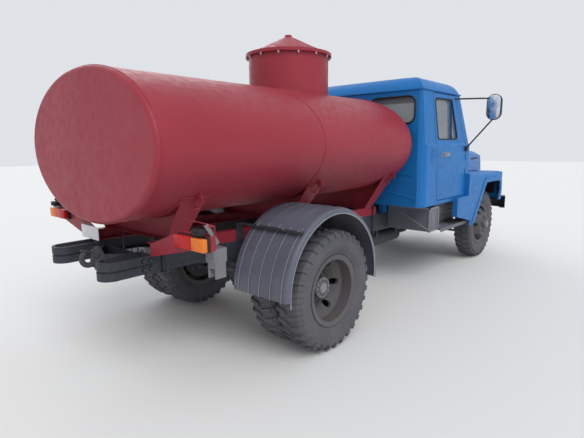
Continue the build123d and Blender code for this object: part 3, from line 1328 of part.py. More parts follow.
with BuildPart() as cab_shell:
    add(cab_outer)
    add(cab_inner, mode=Mode.SUBTRACT)
    with BuildSketch(at_y(-SIDE_REACH)):
        door_outline(DOOR_GAP)
    extrude(amount=400, mode=Mode.SUBTRACT)
    with BuildSketch(at_y(SIDE_REACH)):
        door_outline(DOOR_GAP)
    extrude(amount=-400, mode=Mode.SUBTRACT)
    with BuildSketch(at_x(CAB_REAR_X - 10)):
        rear_window_outline(0)
    extrude(amount=CAB_WALL + 60, mode=Mode.SUBTRACT)
    with BuildSketch(at_x(CAB_FRONT_X - 420)):
        screen_outline(0)
    extrude(amount=500, mode=Mode.SUBTRACT)
    for x in (CAB_REAR_X + 190, CAB_FRONT_X - 160):
        for side in (-1, 1):
            with BuildSketch(at_z(CAB_BOTTOM_Z)):
                with Locations((x, side * (FRAME_HALF_WIDTH - FRAME_FLANGE / 2))):
                    Rectangle(80, 56)
            extrude(amount=frame_top(x + 60) - CAB_BOTTOM_Z - 5)
    with BuildSketch(Plane.XZ):
        polygon(*rail_outline(0, 0))
    extrude(amount=CAB_HALF_WIDTH, both=True, mode=Mode.SUBTRACT)
    for press_z in REAR_PRESS_LINES:
        with BuildSketch(at_x(CAB_REAR_X)):
            with Locations((0, press_z)):
                Rectangle(2 * CAB_HALF_WIDTH - 300, PRESS_HEIGHT)
        extrude(amount=PRESS_DEPTH, mode=Mode.SUBTRACT)
    add(cab_gutter)
    pillar_x = DOOR_POINTS[4][0] + DOOR_GAP + 10
    for side in (-1, 1):
        for hinge_z in DOOR_HINGE_STATIONS:
            with BuildSketch(at_z(hinge_z - DOOR_LUG_HEIGHT / 2)):
                with Locations((DOOR_HINGE_X, side * DOOR_HINGE_Y)):
                    Circle(DOOR_LUG_RADIUS)
                with Locations(((DOOR_HINGE_X + pillar_x) / 2, side * DOOR_HINGE_Y)):
                    Rectangle(pillar_x - DOOR_HINGE_X, 2 * DOOR_LUG_RADIUS)
            extrude(amount=DOOR_LUG_HEIGHT)
            with BuildSketch(at_z(hinge_z)):
                with Locations((DOOR_HINGE_X, side * DOOR_HINGE_Y)):
                    Circle(PIN_RADIUS)
            extrude(amount=DOOR_LUG_HEIGHT / 2 + PIN_REACH, both=True)
        with BuildSketch(at_y(side * BONNET_HINGE_Y)):
            with Locations((BONNET_HINGE_X, BONNET_HINGE_Z)):
                Circle(BARREL_RADIUS)
            polygon(
                (CAB_FRONT_X - 10, BELT_Z - 16),
                (CAB_FRONT_X - 10, BELT_Z),
                (BONNET_HINGE_X, BONNET_HINGE_Z + BARREL_RADIUS),
                (BONNET_HINGE_X, BONNET_HINGE_Z - BARREL_RADIUS),
            )
        extrude(amount=-side * BARREL_LENGTH)
        with BuildSketch(at_y(side * BONNET_HINGE_Y)):
            with Locations((BONNET_HINGE_X, BONNET_HINGE_Z)):
                Circle(PIN_RADIUS)
        extrude(amount=side * (BARREL_LENGTH + 1))
write(cab_shell.part, "cab_shell")

glass_band = cab_form(GLASS_INSET)
glass_inner = cab_form(GLASS_INSET + GLASS)

with BuildPart() as cab_glass:
    with BuildSketch(at_x(CAB_REAR_X - 10)):
        rear_window_outline(SEAT)
    extrude(amount=CAB_WALL + 20)
    with BuildSketch(at_x(CAB_FRONT_X - 420)):
        screen_outline(SEAT)
    extrude(amount=500)
    add(glass_band, mode=Mode.INTERSECT)
    add(glass_inner, mode=Mode.SUBTRACT)
write(cab_glass.part, "cab_glass")

with BuildPart() as door:
    with BuildSketch(at_y(-SIDE_REACH)):
        door_outline(0)
    extrude(amount=400)
    add(cab_outer, mode=Mode.INTERSECT)
    add(cab_inner, mode=Mode.SUBTRACT)
    with BuildSketch(at_y(-SIDE_REACH)):
        window_outline(0)
        with Locations((VENT_BAR_X, 1880)):
            Rectangle(VENT_BAR, 900, mode=Mode.SUBTRACT)
    extrude(amount=400, mode=Mode.SUBTRACT)
    notch_x = DOOR_HINGE_X - DOOR_LUG_RADIUS - DOOR_LUG_CLEARANCE
    for hinge_z in DOOR_HINGE_STATIONS:
        with BuildSketch(at_z(hinge_z)):
            with Locations((DOOR_HINGE_X, -DOOR_HINGE_Y)):
                Circle(DOOR_LUG_RADIUS)
        extrude(amount=DOOR_LUG_HEIGHT / 2 + PIN_REACH, both=True)
        with BuildSketch(at_z(hinge_z)):
            with Locations((notch_x + 30, -DOOR_HINGE_Y)):
                Rectangle(60, 100)
        extrude(amount=DOOR_LUG_HEIGHT / 2 + DOOR_LUG_CLEARANCE, both=True, mode=Mode.SUBTRACT)
        with BuildSketch(at_z(hinge_z)):
            with Locations((DOOR_HINGE_X, -DOOR_HINGE_Y)):
                Circle(PIN_RADIUS + RUNNING_FIT)
        extrude(amount=DOOR_LUG_HEIGHT / 2 + PIN_REACH + 1, both=True, mode=Mode.SUBTRACT)
write_sides(door, "door")

with BuildPart() as door_glass:
    with BuildSketch(at_y(-SIDE_REACH)):
        window_outline(-SEAT)
        with Locations((VENT_BAR_X, 1880)):
            Rectangle(VENT_BAR + 2 * SEAT, 900, mode=Mode.SUBTRACT)
    extrude(amount=400)
    add(glass_band, mode=Mode.INTERSECT)
    add(glass_inner, mode=Mode.SUBTRACT)
write_sides(door_glass, "door_glass")

# Mirrors: a bent tube from two points of the door, with an oval head
MIRROR_Y = 1262
MIRROR_X = DOOR_FRONT_X + 55
MIRROR_Z = 2035
MIRROR_HEIGHT = 300
MIRROR_WIDTH = 165
MIRROR_DEPTH = 46
MIRROR_TUBE = 9
MIRROR_POINTS = [
    (DOOR_FRONT_X - 345, -915, 2125),
    (DOOR_FRONT_X - 100, -1120, 2135),
    (DOOR_FRONT_X + 85, -MIRROR_Y, 2140),
    (DOOR_FRONT_X + 85, -MIRROR_Y, 1930),
    (DOOR_FRONT_X - 30, -985, 1560),
]

with BuildPart() as mirror_arm:
    with BuildLine() as arm_line:
        FilletPolyline(*MIRROR_POINTS, radius=50)
    with BuildSketch(Plane(origin=arm_line.line @ 0, z_dir=arm_line.line % 0)):
        Circle(MIRROR_TUBE)
    sweep(path=arm_line.line)
    with BuildSketch(at_x(MIRROR_X)):
        with Locations((-MIRROR_Y, MIRROR_Z)):
            SlotOverall(MIRROR_HEIGHT, MIRROR_WIDTH, rotation=90)
    extrude(amount=-MIRROR_DEPTH)
    with BuildSketch(at_x(MIRROR_X)):
        with Locations((-MIRROR_Y, MIRROR_Z)):
            Rectangle(40, 60)
    extrude(amount=32)
    with BuildSketch(at_y(-CAB_HALF_WIDTH)):
        with Locations((DOOR_FRONT_X - 38, 1548)):
            Rectangle(44, 60)
    extrude(amount=26)
    add(cab_outer, mode=Mode.SUBTRACT)
write_sides(mirror_arm, "mirror")

FENDER_TOP_REAR_Z = 1252
FENDER_FALL = 46 / 1253


def fender_top(x):
    return FENDER_TOP_REAR_Z - FENDER_FALL * (x - CAB_FRONT_X)


# Bonnet: a tapered hood hinged at its cab end
BONNET_REAR_X = CAB_FRONT_X + BONNET_GAP


def bonnet_edge(x):
    """Height of the hood's lower edge, just above the fenders."""
    return fender_top(x) + BONNET_GAP


def bonnet_form(inset, past):
    """The hood's outer form, or its hollow when drawn in and run past its open sides."""
    with BuildPart() as form:
        # Columns: x, half width, side top z, crown z
        for x, half, side_z, crown_z in (
            (BONNET_REAR_X - past, BONNET_REAR_HALF, 1500, 1588),
            (BONNET_FRONT_X + past, BONNET_FRONT_HALF, 1430, 1500),
        ):
            with BuildSketch(at_x(x)):
                polygon(
                    (-half + inset, bonnet_edge(FRONT_X) - past),
                    (half - inset, bonnet_edge(FRONT_X) - past),
                    (half - inset - 16, side_z - inset / 2),
                    (half - 110, crown_z - 18 - inset),
                    (0, crown_z - inset),
                    (-half + 110, crown_z - 18 - inset),
                    (-half + inset + 16, side_z - inset / 2),
                )
        loft()
        with BuildSketch(Plane.XZ):
            with BuildLine():
                Polyline(
                    (BONNET_FRONT_X - 130 - inset, 1700),
                    (BONNET_REAR_X - past, 1700),
                    (BONNET_REAR_X - past, bonnet_edge(BONNET_REAR_X) - past),
                    (BONNET_FRONT_X - inset, bonnet_edge(BONNET_FRONT_X) - past),
                    (BONNET_FRONT_X - 12 - inset, 1385),
                )
                ThreePointArc(
                    (BONNET_FRONT_X - 12 - inset, 1385),
                    (BONNET_FRONT_X - 50 - inset, 1474),
                    (BONNET_FRONT_X - 130 - inset, 1512),
                )
                Line((BONNET_FRONT_X - 130 - inset, 1512), (BONNET_FRONT_X - 130 - inset, 1700))
            make_face()
        extrude(amount=CAB_HALF_WIDTH, both=True, mode=Mode.INTERSECT)
    return form.part


bonnet_outer = bonnet_form(0, 0)
bonnet_hollow = bonnet_form(BONNET_PANEL, 20)
BARREL_GAP = 1
with BuildPart() as bonnet:
    add(bonnet_outer)
    add(bonnet_hollow, mode=Mode.SUBTRACT)
    for side in (-1, 1):
        with BuildSketch(at_y(side * (BONNET_HINGE_Y - BARREL_GAP))):
            with Locations((BONNET_HINGE_X, BONNET_HINGE_Z)):
                Circle(BARREL_RADIUS)
            polygon(
                (BONNET_HINGE_X - BARREL_RADIUS, BONNET_HINGE_Z),
                (BONNET_HINGE_X + BARREL_RADIUS, BONNET_HINGE_Z),
                (BONNET_HINGE_X + 4 * BARREL_RADIUS, BONNET_HINGE_Z - 34),
                (BONNET_HINGE_X - BARREL_RADIUS, BONNET_HINGE_Z - 34),
            )
        extrude(amount=side * BARREL_LENGTH)
        with BuildSketch(at_y(side * (BONNET_HINGE_Y + 1))):
            with Locations((BONNET_HINGE_X, BONNET_HINGE_Z)):
                Circle(PIN_RADIUS + RUNNING_FIT)
        extrude(amount=side * (BARREL_LENGTH + 10), mode=Mode.SUBTRACT)
write(bonnet.part, "bonnet")

# Front fenders: top, side and nose of sheet, with a wheel arch and a tail under the door
ARCH_FRONT_X = FRONT_AXLE_X + 338
ARCH_REAR_X = FRONT_AXLE_X - 633
FLARE_X = FRONT_AXLE_X + 402
ARCH_POINTS = [
    (ARCH_REAR_X, 500),
    (ARCH_REAR_X, 605),
    (FRONT_AXLE_X - 269, 1040),
    (FRONT_AXLE_X - 215, 1088),
    (FRONT_AXLE_X + 310, 1088),
    (FRONT_AXLE_X + 370, 1060),
    (FLARE_X, 940),
    (ARCH_FRONT_X, 800),
    (ARCH_FRONT_X, 500),
]
FENDER_TAIL_X = CAB_FRONT_X - 445
NOSE_HALF_WIDTH = 920
NOSE_LOW_Z = 800
NOSE_HIGH_Z = bonnet_edge(NOSE_X) - BONNET_GAP
NOSE_SHEET = 14
FENDER_REAR_X = DOOR_FRONT_X + 16


def fender_form(sheet, past):
    """Closed form of a fender, or its hollow when drawn in by the sheet and run past."""
    with BuildPart() as form:
        with BuildSketch(Plane.XZ):
            polygon(
                (CAB_FRONT_X - past, fender_top(CAB_FRONT_X - past) - sheet),
                (NOSE_X - 180, fender_top(NOSE_X - 180) - sheet),
                (NOSE_X - sheet, fender_top(NOSE_X - 180) - 46 - sheet / 2),
                (NOSE_X - sheet, 800 - past),
                (ARCH_FRONT_X, 800 - past),
                (CAB_FRONT_X - past, 560 - past),
            )
        extrude(amount=FENDER_HALF_WIDTH + 20)
        with BuildSketch(at_z(400)):
            with BuildLine():
                Polyline(
                    (NOSE_X - sheet, -920 + sheet / 2),
                    (NOSE_X - sheet, -600 + past),
                    (CAB_FRONT_X - past, -600 + past),
                    (CAB_FRONT_X - past, -FENDER_HALF_WIDTH + sheet),
                    (FLARE_X, -FENDER_HALF_WIDTH + sheet),
                )
                ThreePointArc(
                    (FLARE_X, -FENDER_HALF_WIDTH + sheet),
                    (NOSE_X - 98, -1000 + sheet),
                    (NOSE_X - sheet, -920 + sheet / 2),
                )
            make_face()
        extrude(amount=1000, mode=Mode.INTERSECT)
        with BuildSketch(Plane.YZ):
            with BuildLine():
                Polyline(
                    (-600 + past, 1262 - sheet),
                    (-600 + past, 400),
                    (-FENDER_HALF_WIDTH + sheet, 400),
                    (-FENDER_HALF_WIDTH + sheet, 1150),
                )
                ThreePointArc(
                    (-FENDER_HALF_WIDTH + sheet, 1150),
                    (-FENDER_HALF_WIDTH + 16 + sheet, 1192),
                    (-FENDER_HALF_WIDTH + 62 + sheet, 1214),
                )
                Polyline(
                    (-FENDER_HALF_WIDTH + 62 + sheet, 1214),
                    (-900 + sheet, 1252 - sheet),
                    (-600 + past, 1262 - sheet),
                )
            make_face()
        extrude(amount=LENGTH, both=True, mode=Mode.INTERSECT)
    return form.part


fender_outer = fender_form(0, 0)
fender_hollow = fender_form(FENDER_SHEET, 30)
ARCH_LIP = 70
ARCH_RAISE = 9

with BuildPart() as arch_lip:
    with BuildSketch(at_y(-900)):
        polygon(*ARCH_POINTS)
        offset(amount=ARCH_LIP)
    extrude(amount=300)
    add(fender_form(-ARCH_RAISE, 0), mode=Mode.INTERSECT)
    add(fender_hollow, mode=Mode.SUBTRACT)

with BuildPart() as front_fenders:
    add(fender_outer)
    add(fender_hollow, mode=Mode.SUBTRACT)
    add(arch_lip.part)
    with BuildSketch(at_y(-900)):
        polygon(*ARCH_POINTS)
    extrude(amount=300, mode=Mode.SUBTRACT)
    with BuildSketch(at_x(NOSE_X - NOSE_SHEET)):
        with Locations((-NOSE_HALF_WIDTH / 2, NOSE_LOW_Z)):
            Rectangle(NOSE_HALF_WIDTH, NOSE_LOW_Z)
    extrude(amount=2 * NOSE_SHEET, mode=Mode.SUBTRACT)
    # The skin beside the cab, forward of the door, and the tail below it
    with BuildSketch(at_y(-CAB_HALF_WIDTH)):
        polygon(
            (CAB_FRONT_X, 1235),
            (FENDER_REAR_X, 1238),
            (FENDER_REAR_X, 966),
            (FENDER_TAIL_X, 966),
            (FENDER_TAIL_X, 738),
            (ARCH_REAR_X, 605),
            (ARCH_REAR_X + 83, 704),
            (CAB_FRONT_X, 704),
        )
    extrude(amount=FENDER_HALF_WIDTH - CAB_HALF_WIDTH)
    with BuildSketch(at_y(-CAB_HALF_WIDTH)):
        polygon(
            (CAB_FRONT_X + 40, 960),
            (CAB_FRONT_X + 40, 954),
            (FENDER_TAIL_X + FENDER_SHEET, 954),
            (FENDER_TAIL_X + FENDER_SHEET, 500),
            (CAB_FRONT_X + 400, 500),
            (CAB_FRONT_X + 400, 960),
        )
    extrude(amount=FENDER_HALF_WIDTH - CAB_HALF_WIDTH - FENDER_SHEET, mode=Mode.SUBTRACT)
    mirror(about=Plane.XZ)
write(front_fenders.part, "front_fenders")

# Nose panel: a painted frame between the fenders, round the grille
GRILLE_HALF_WIDTH = 880
GRILLE_LOW_Z = 862
GRILLE_HIGH_Z = 1172
HEADLAMP_Y = 742
HEADLAMP_Z = (GRILLE_LOW_Z + GRILLE_HIGH_Z) / 2
HEADLAMP_RADIUS = 92

with BuildPart() as nose_panel:
    with BuildSketch(at_x(NOSE_X - NOSE_SHEET)):
        with Locations((0, (NOSE_LOW_Z + NOSE_HIGH_Z) / 2)):
            Rectangle(2 * NOSE_HALF_WIDTH, NOSE_HIGH_Z - NOSE_LOW_Z)
        with Locations((0, (GRILLE_LOW_Z + GRILLE_HIGH_Z) / 2)):
            RectangleRounded(2 * GRILLE_HALF_WIDTH, GRILLE_HIGH_Z - GRILLE_LOW_Z, 30, mode=Mode.SUBTRACT)
    extrude(amount=NOSE_SHEET)
write(nose_panel.part, "nose_panel")

# Grille: a moulded frame with slats, and a round pocket at each end for the headlamp
SLATS = 6
SLAT_HEIGHT = 22
GRILLE_DEPTH = 30
GRILLE_BORDER = 20

with BuildPart() as front_grille:
    grille_x = NOSE_X - NOSE_SHEET
    grille_high = GRILLE_HIGH_Z - SEAT
    grille_low = GRILLE_LOW_Z + SEAT
    with BuildSketch(at_x(grille_x)):
        with Locations((0, (grille_low + grille_high) / 2)):
            RectangleRounded(2 * GRILLE_HALF_WIDTH - 2 * SEAT, grille_high - grille_low, 30)
            RectangleRounded(
                2 * GRILLE_HALF_WIDTH - 2 * GRILLE_BORDER,
                grille_high - grille_low - 2 * GRILLE_BORDER,
                20,
                mode=Mode.SUBTRACT,
            )
        pitch = (grille_high - grille_low) / (SLATS + 1)
        for index in range(SLATS):
            with Locations((0, grille_low + pitch * (index + 1))):
                Rectangle(2 * GRILLE_HALF_WIDTH - GRILLE_BORDER, SLAT_HEIGHT)
        for side in (-1, 1):
            with Locations((side * HEADLAMP_Y, HEADLAMP_Z)):
                RectangleRounded(236, grille_high - grille_low - 10, 20)
    extrude(amount=GRILLE_DEPTH)
    for side in (-1, 1):
        with BuildSketch(at_x(grille_x + 8)):
            with Locations((side * HEADLAMP_Y, HEADLAMP_Z)):
                Circle(HEADLAMP_RADIUS + 8)
        extrude(amount=GRILLE_DEPTH, mode=Mode.SUBTRACT)
write(front_grille.part, "front_grille")

with BuildPart() as headlamps:
    for side in (-1, 1):
        with BuildSketch(at_x(grille_x + 8)):
            with Locations((side * HEADLAMP_Y, HEADLAMP_Z)):
                Circle(HEADLAMP_RADIUS)
        extrude(amount=18)
        with BuildSketch(at_x(grille_x + 26)):
            with Locations((side * HEADLAMP_Y, HEADLAMP_Z)):
                Circle(HEADLAMP_RADIUS - 4)
        extrude(amount=14, taper=40)
write(headlamps.part, "headlamps")

# Front bumper: a bent channel on two brackets that enter the frame rails
BUMPER_LOW_Z = 632
BUMPER_HEIGHT = 178
BUMPER_PLATE = 8
BUMPER_ARM_X = FRONT_X - 205
BUMPER_POINTS = [
    (FRONT_X - 180, 1020),
    (FRONT_X - 40, 975),
    (FRONT_X, 880),
    (FRONT_X, -880),
    (FRONT_X - 40, -975),
    (FRONT_X - 180, -1020),
    (FRONT_X - 200, -950),
    (FRONT_X - 95, -915),
    (FRONT_X - 66, -850),
    (FRONT_X - 66, 850),
    (FRONT_X - 95, 915),
    (FRONT_X - 200, 950),
]

with BuildPart() as front_bumper:
    with BuildSketch(at_z(BUMPER_LOW_Z)):
        polygon(*BUMPER_POINTS)
    extrude(amount=BUMPER_HEIGHT)
    with BuildSketch(at_z(BUMPER_LOW_Z + BUMPER_PLATE)):
        polygon(*[(x - BUMPER_PLATE, y) for x, y in BUMPER_POINTS])
    extrude(amount=BUMPER_HEIGHT - 2 * BUMPER_PLATE, mode=Mode.SUBTRACT)
    for side in (-1, 1):
        with BuildSketch(at_y(side * WEB_INSIDE)):
            with Locations((BUMPER_ARM_X, 690)):
                Rectangle(2 * (FRONT_X - BUMPER_PLATE - BUMPER_ARM_X), 84)
        extrude(amount=side * 10)
write(front_bumper.part, "front_bumper")

# Steps below the doors: a ribbed riser and a tread plate on a bracket to the frame
STEP_REAR_X = BATTERY_REAR_X + BATTERY_LENGTH + 10
STEP_FRONT_X = CAB_FRONT_X + 15
STEP_Z = 640
STEP_OUTER_Y = 985
STEP_RISER_Y = 800
STEP_PLATE = 5

RISER_RIBS = 5
RIB_PROUD = 5


def riser_point(share, proud):
    """Point on the riser's face, this share of the way up and this far out."""
    return (-STEP_RISER_Y - 60 * share - proud, STEP_Z + (CAB_BOTTOM_Z - 1 - STEP_Z) * share)


riser_face = []
for index in range(RISER_RIBS):
    for share, proud in ((0.3, 0), (0.4, RIB_PROUD), (0.6, RIB_PROUD), (0.7, 0)):
        riser_face.append(riser_point((index + share) / RISER_RIBS, proud))

with BuildPart() as steps:
    with BuildSketch(at_x(STEP_REAR_X)):
        polygon(
            (-STEP_OUTER_Y, STEP_Z - 40),
            (-STEP_OUTER_Y, STEP_Z),
            (-STEP_RISER_Y, STEP_Z),
            *riser_face,
            (-STEP_RISER_Y - 60, CAB_BOTTOM_Z - 1),
            (-STEP_RISER_Y - 60 + STEP_PLATE, CAB_BOTTOM_Z - 1),
            (-STEP_RISER_Y + STEP_PLATE, STEP_Z - STEP_PLATE),
            (-STEP_OUTER_Y + STEP_PLATE, STEP_Z - STEP_PLATE),
            (-STEP_OUTER_Y + STEP_PLATE, STEP_Z - 40),
        )
    extrude(amount=STEP_FRONT_X - STEP_REAR_X)
    for x in (STEP_REAR_X + 60, STEP_FRONT_X - 180):
        with BuildSketch(at_x(x)):
            polygon(
                (-FRAME_HALF_WIDTH, STEP_Z - 8),
                (-FRAME_HALF_WIDTH, STEP_Z + 90),
                (-STEP_OUTER_Y + STEP_PLATE, STEP_Z - STEP_PLATE),
                (-STEP_OUTER_Y + STEP_PLATE, STEP_Z - 30),
            )
        extrude(amount=40)
    mirror(about=Plane.XZ)
write(steps.part, "steps")

# Seats, dashboard and steering wheel, seen through the glass
FLOOR_Z = CAB_BOTTOM_Z + CAB_WALL
SEAT_BACK_X = CAB_REAR_X + 220
# Columns: y of the seat's middle, its width
SEAT_PLACES = [(440, 480), (-380, 760)]

with BuildPart() as seats:
    for y, width in SEAT_PLACES:
        with BuildSketch(at_y(y + width / 2)):
            with BuildLine():
                Polyline(
                    (SEAT_BACK_X, FLOOR_Z),
                    (SEAT_BACK_X + 490, FLOOR_Z),
                    (SEAT_BACK_X + 520, FLOOR_Z + 350),
                    (SEAT_BACK_X + 140, FLOOR_Z + 320),
                    (SEAT_BACK_X, FLOOR_Z + 860),
                    (SEAT_BACK_X - 100, FLOOR_Z + 850),
                    (SEAT_BACK_X - 30, FLOOR_Z + 280),
                    close=True,
                )
            make_face()
        extrude(amount=width)
write(seats.part, "seats")

with BuildPart() as dashboard:
    with BuildSketch(at_y(-CAB_HALF_WIDTH + CAB_WALL + 14)):
        polygon(
            (CAB_FRONT_X - CAB_WALL, 1250),
            (CAB_FRONT_X - CAB_WALL, BELT_Z - CAB_WALL - 30),
            (CAB_FRONT_X - CAB_WALL - 60, BELT_Z - CAB_WALL - 10),
            (CAB_FRONT_X - 215, 1530),
            (CAB_FRONT_X - 255, 1440),
            (CAB_FRONT_X - 225, 1290),
        )
    extrude(amount=-2 * (CAB_HALF_WIDTH - CAB_WALL - 14))
write(dashboard.part, "dashboard")

WHEEL_CENTRE = (CAB_FRONT_X - 445, 440, 1560)
WHEEL_RADIUS = 215
COLUMN_TILT = 38
COLUMN_LENGTH = 270

with BuildPart() as steering_wheel:
    column = Plane(origin=WHEEL_CENTRE, z_dir=(-cos(radians(COLUMN_TILT)), 0, sin(radians(COLUMN_TILT))))
    with BuildSketch(column):
        Circle(WHEEL_RADIUS + 14)
        Circle(WHEEL_RADIUS - 14, mode=Mode.SUBTRACT)
        Rectangle(2 * WHEEL_RADIUS, 34)
        Circle(52)
    extrude(amount=22, both=False)
    with BuildSketch(column):
        Circle(24)
    extrude(amount=-COLUMN_LENGTH)
    add(dashboard.part, mode=Mode.SUBTRACT)
write(steering_wheel.part, "steering_wheel")
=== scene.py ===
import math

import bmesh
import bpy
from mathutils import Matrix, Vector


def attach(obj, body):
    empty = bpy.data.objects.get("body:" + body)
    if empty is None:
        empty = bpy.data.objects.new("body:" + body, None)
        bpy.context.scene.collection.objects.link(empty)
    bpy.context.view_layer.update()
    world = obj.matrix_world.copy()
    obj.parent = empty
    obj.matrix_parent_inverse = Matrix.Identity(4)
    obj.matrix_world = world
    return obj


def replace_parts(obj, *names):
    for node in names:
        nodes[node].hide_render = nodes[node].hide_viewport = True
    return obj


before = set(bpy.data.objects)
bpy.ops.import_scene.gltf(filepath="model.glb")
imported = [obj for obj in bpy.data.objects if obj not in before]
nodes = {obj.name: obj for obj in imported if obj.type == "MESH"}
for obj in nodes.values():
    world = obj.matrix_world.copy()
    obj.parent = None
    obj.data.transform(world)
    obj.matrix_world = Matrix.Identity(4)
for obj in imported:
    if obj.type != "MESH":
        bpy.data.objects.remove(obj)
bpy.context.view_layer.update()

# The stage: a pale floor under soft, even light, with the camera a little
# above the rear right corner, where the photograph was taken.
CAMERA_PLACE = (-4.2804, -2.99169, 1.60707)
CAMERA_YAW = 41.334
CAMERA_DIP = 9.512
CAMERA_ROLL = -0.46
LENS = 27.12
SENSOR_WIDTH = 36

yaw, dip, roll = (math.radians(a) for a in (CAMERA_YAW, CAMERA_DIP, CAMERA_ROLL))
ahead = Vector((math.cos(dip) * math.cos(yaw), math.cos(dip) * math.sin(yaw), -math.sin(dip)))
level = Vector((math.sin(yaw), -math.cos(yaw), 0))
across = level * math.cos(roll) + level.cross(ahead) * math.sin(roll)
above = across.cross(ahead)
camera = bpy.data.objects.new("camera", bpy.data.cameras.new("camera"))
camera.data.lens = LENS
camera.data.sensor_width = SENSOR_WIDTH
camera.data.clip_end = 200
aim = Matrix((across, above, -ahead)).transposed().to_4x4()
camera.matrix_world = Matrix.Translation(CAMERA_PLACE) @ aim
bpy.context.collection.objects.link(camera)
bpy.context.scene.camera = camera
bpy.context.scene.view_settings.view_transform = "Standard"

world = bpy.data.worlds.new("soft sky")
world.use_nodes = True
sky = world.node_tree.nodes["Background"].inputs
sky["Color"].default_value = (0.93, 0.96, 1.0, 1)
sky["Strength"].default_value = 0.8
bpy.context.scene.world = world
# Columns: light, strength, its turns in degrees
for name, strength, angles in (
        ("key light", 1.5, (38, -22, 0)),
        ("fill light", 0.5, (60, 30, 140))):
    sun = bpy.data.objects.new(name, bpy.data.lights.new(name, "SUN"))
    sun.data.energy = strength
    sun.data.angle = math.radians(40)
    sun.rotation_euler = [math.radians(a) for a in angles]
    bpy.context.collection.objects.link(sun)

bm = bmesh.new()
bmesh.ops.create_grid(bm, x_segments=1, y_segments=1, size=40)
floor = bpy.data.objects.new("floor", bpy.data.meshes.new("floor"))
bm.to_mesh(floor.data)
bm.free()
bpy.context.collection.objects.link(floor)
pale = bpy.data.materials.new("pale floor")
pale.use_nodes = True
floor_look = pale.node_tree.nodes["Principled BSDF"].inputs
floor_look["Base Color"].default_value = (0.72, 0.72, 0.71, 1)
floor_look["Roughness"].default_value = 0.9
floor.data.materials.append(pale)


# Tank: two rolled courses of sheet steel welded to nearly flat heads, with
# a bead round each joint. Dull dark red paint, faded in soft patches, with
# dust low down; its slight blue cast, strongest in the faded patches, is a
# painted sky reflection. The same kind of brushed paint covers the cab and
# the frame.
def paint(name, colour, faded, dirt, rough, grain=9.0, low=0.3, high=1.4, mud=0.3, bump=0.04,
          metal=0.0, under=0.0, alpha=1.0):
    """Two shades in soft patches, with dirt that thickens from high down to low.

    mud is how much of it settles there, and under is how much stays on
    undersides and on faces that look inwards.
    """
    made = bpy.data.materials.new(name)
    made.use_nodes = True
    tree = made.node_tree
    shader = tree.nodes["Principled BSDF"]
    shader.inputs["Metallic"].default_value = metal
    shader.inputs["Alpha"].default_value = alpha
    shader.inputs["Specular IOR Level"].default_value = 0.24
    place = tree.nodes.new("ShaderNodeTexCoord")

    def noise(scale, detail):
        pattern = tree.nodes.new("ShaderNodeTexNoise")
        pattern.inputs["Scale"].default_value = scale
        pattern.inputs["Detail"].default_value = detail
        tree.links.new(place.outputs["Object"], pattern.inputs["Vector"])
        return pattern.outputs["Fac"]

    def span(value, start, end, out_start=0.0, out_end=1.0):
        ranged = tree.nodes.new("ShaderNodeMapRange")
        limits = {"From Min": start, "From Max": end, "To Min": out_start, "To Max": out_end}
        for socket, number in limits.items():
            ranged.inputs[socket].default_value = number
        tree.links.new(value, ranged.inputs["Value"])
        return ranged.outputs["Result"]

    def blend(amount, first, second):
        mixed = tree.nodes.new("ShaderNodeMix")
        mixed.data_type = "RGBA"
        tree.links.new(amount, mixed.inputs["Factor"])
        for socket, value in (("A", first), ("B", second)):
            end = [i for i in mixed.inputs if i.name == socket and i.type == "RGBA"][0]
            if isinstance(value, tuple):
                end.default_value = (*value, 1)
            else:
                tree.links.new(value, end)
        return [o for o in mixed.outputs if o.type == "RGBA"][0]

    def combine(operation, first, second):
        result = tree.nodes.new("ShaderNodeMath")
        result.operation = operation
        tree.links.new(first, result.inputs[0])
        tree.links.new(second, result.inputs[1])
        return result.outputs[0]

    fade = blend(span(noise(grain / 6, 3), 0.32, 0.72), colour, faded)
    spot = tree.nodes.new("ShaderNodeSeparateXYZ")
    tree.links.new(place.outputs["Object"], spot.inputs[0])
    facing = tree.nodes.new("ShaderNodeSeparateXYZ")
    tree.links.new(tree.nodes.new("ShaderNodeNewGeometry").outputs["Normal"], facing.inputs[0])
    height = span(spot.outputs["Z"], low, high, 1.0, 0.0)
    settled = combine("MULTIPLY", height, span(noise(grain * 4, 8), 0.42, 0.68))
    below = span(facing.outputs["Z"], -0.2, -0.7, 0.0, under)
    inwards = combine("MULTIPLY", spot.outputs["Y"], facing.outputs["Y"])
    hidden = combine("MAXIMUM", below, span(inwards, -0.15, -0.55, 0.0, under))
    soft = combine("MAXIMUM", span(settled, 0.0, 1.0, 0.03, mud), hidden)
    tree.links.new(blend(soft, fade, dirt), shader.inputs["Base Color"])
    dull = span(noise(grain * 2, 5), 0.3, 0.7, rough - 0.06, rough + 0.12)
    tree.links.new(dull, shader.inputs["Roughness"])
    ripple = tree.nodes.new("ShaderNodeBump")
    ripple.inputs["Strength"].default_value = bump
    ripple.inputs["Distance"].default_value = 0.01
    tree.links.new(noise(grain * 1.3, 4), ripple.inputs["Height"])
    tree.links.new(ripple.outputs["Normal"], shader.inputs["Normal"])
    return made


def dress(material, *names):
    """Give CAD nodes this material in every slot."""
    for name in names:
        data = nodes[name].data
        data.materials.clear()
        data.materials.append(material)


def shape(name, bm, material, body, angle=32):
    """Turn a finished bmesh into a piece that rides on a body."""
    bmesh.ops.recalc_face_normals(bm, faces=bm.faces)
    mesh = bpy.data.meshes.new(name)
    bm.to_mesh(mesh)
    bm.free()
    mesh.materials.append(material)
    mesh.shade_smooth()
    mesh.set_sharp_from_angle(angle=math.radians(angle))
    piece = bpy.data.objects.new(name, mesh)
    bpy.context.collection.objects.link(piece)
    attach(piece, body)
    return piece


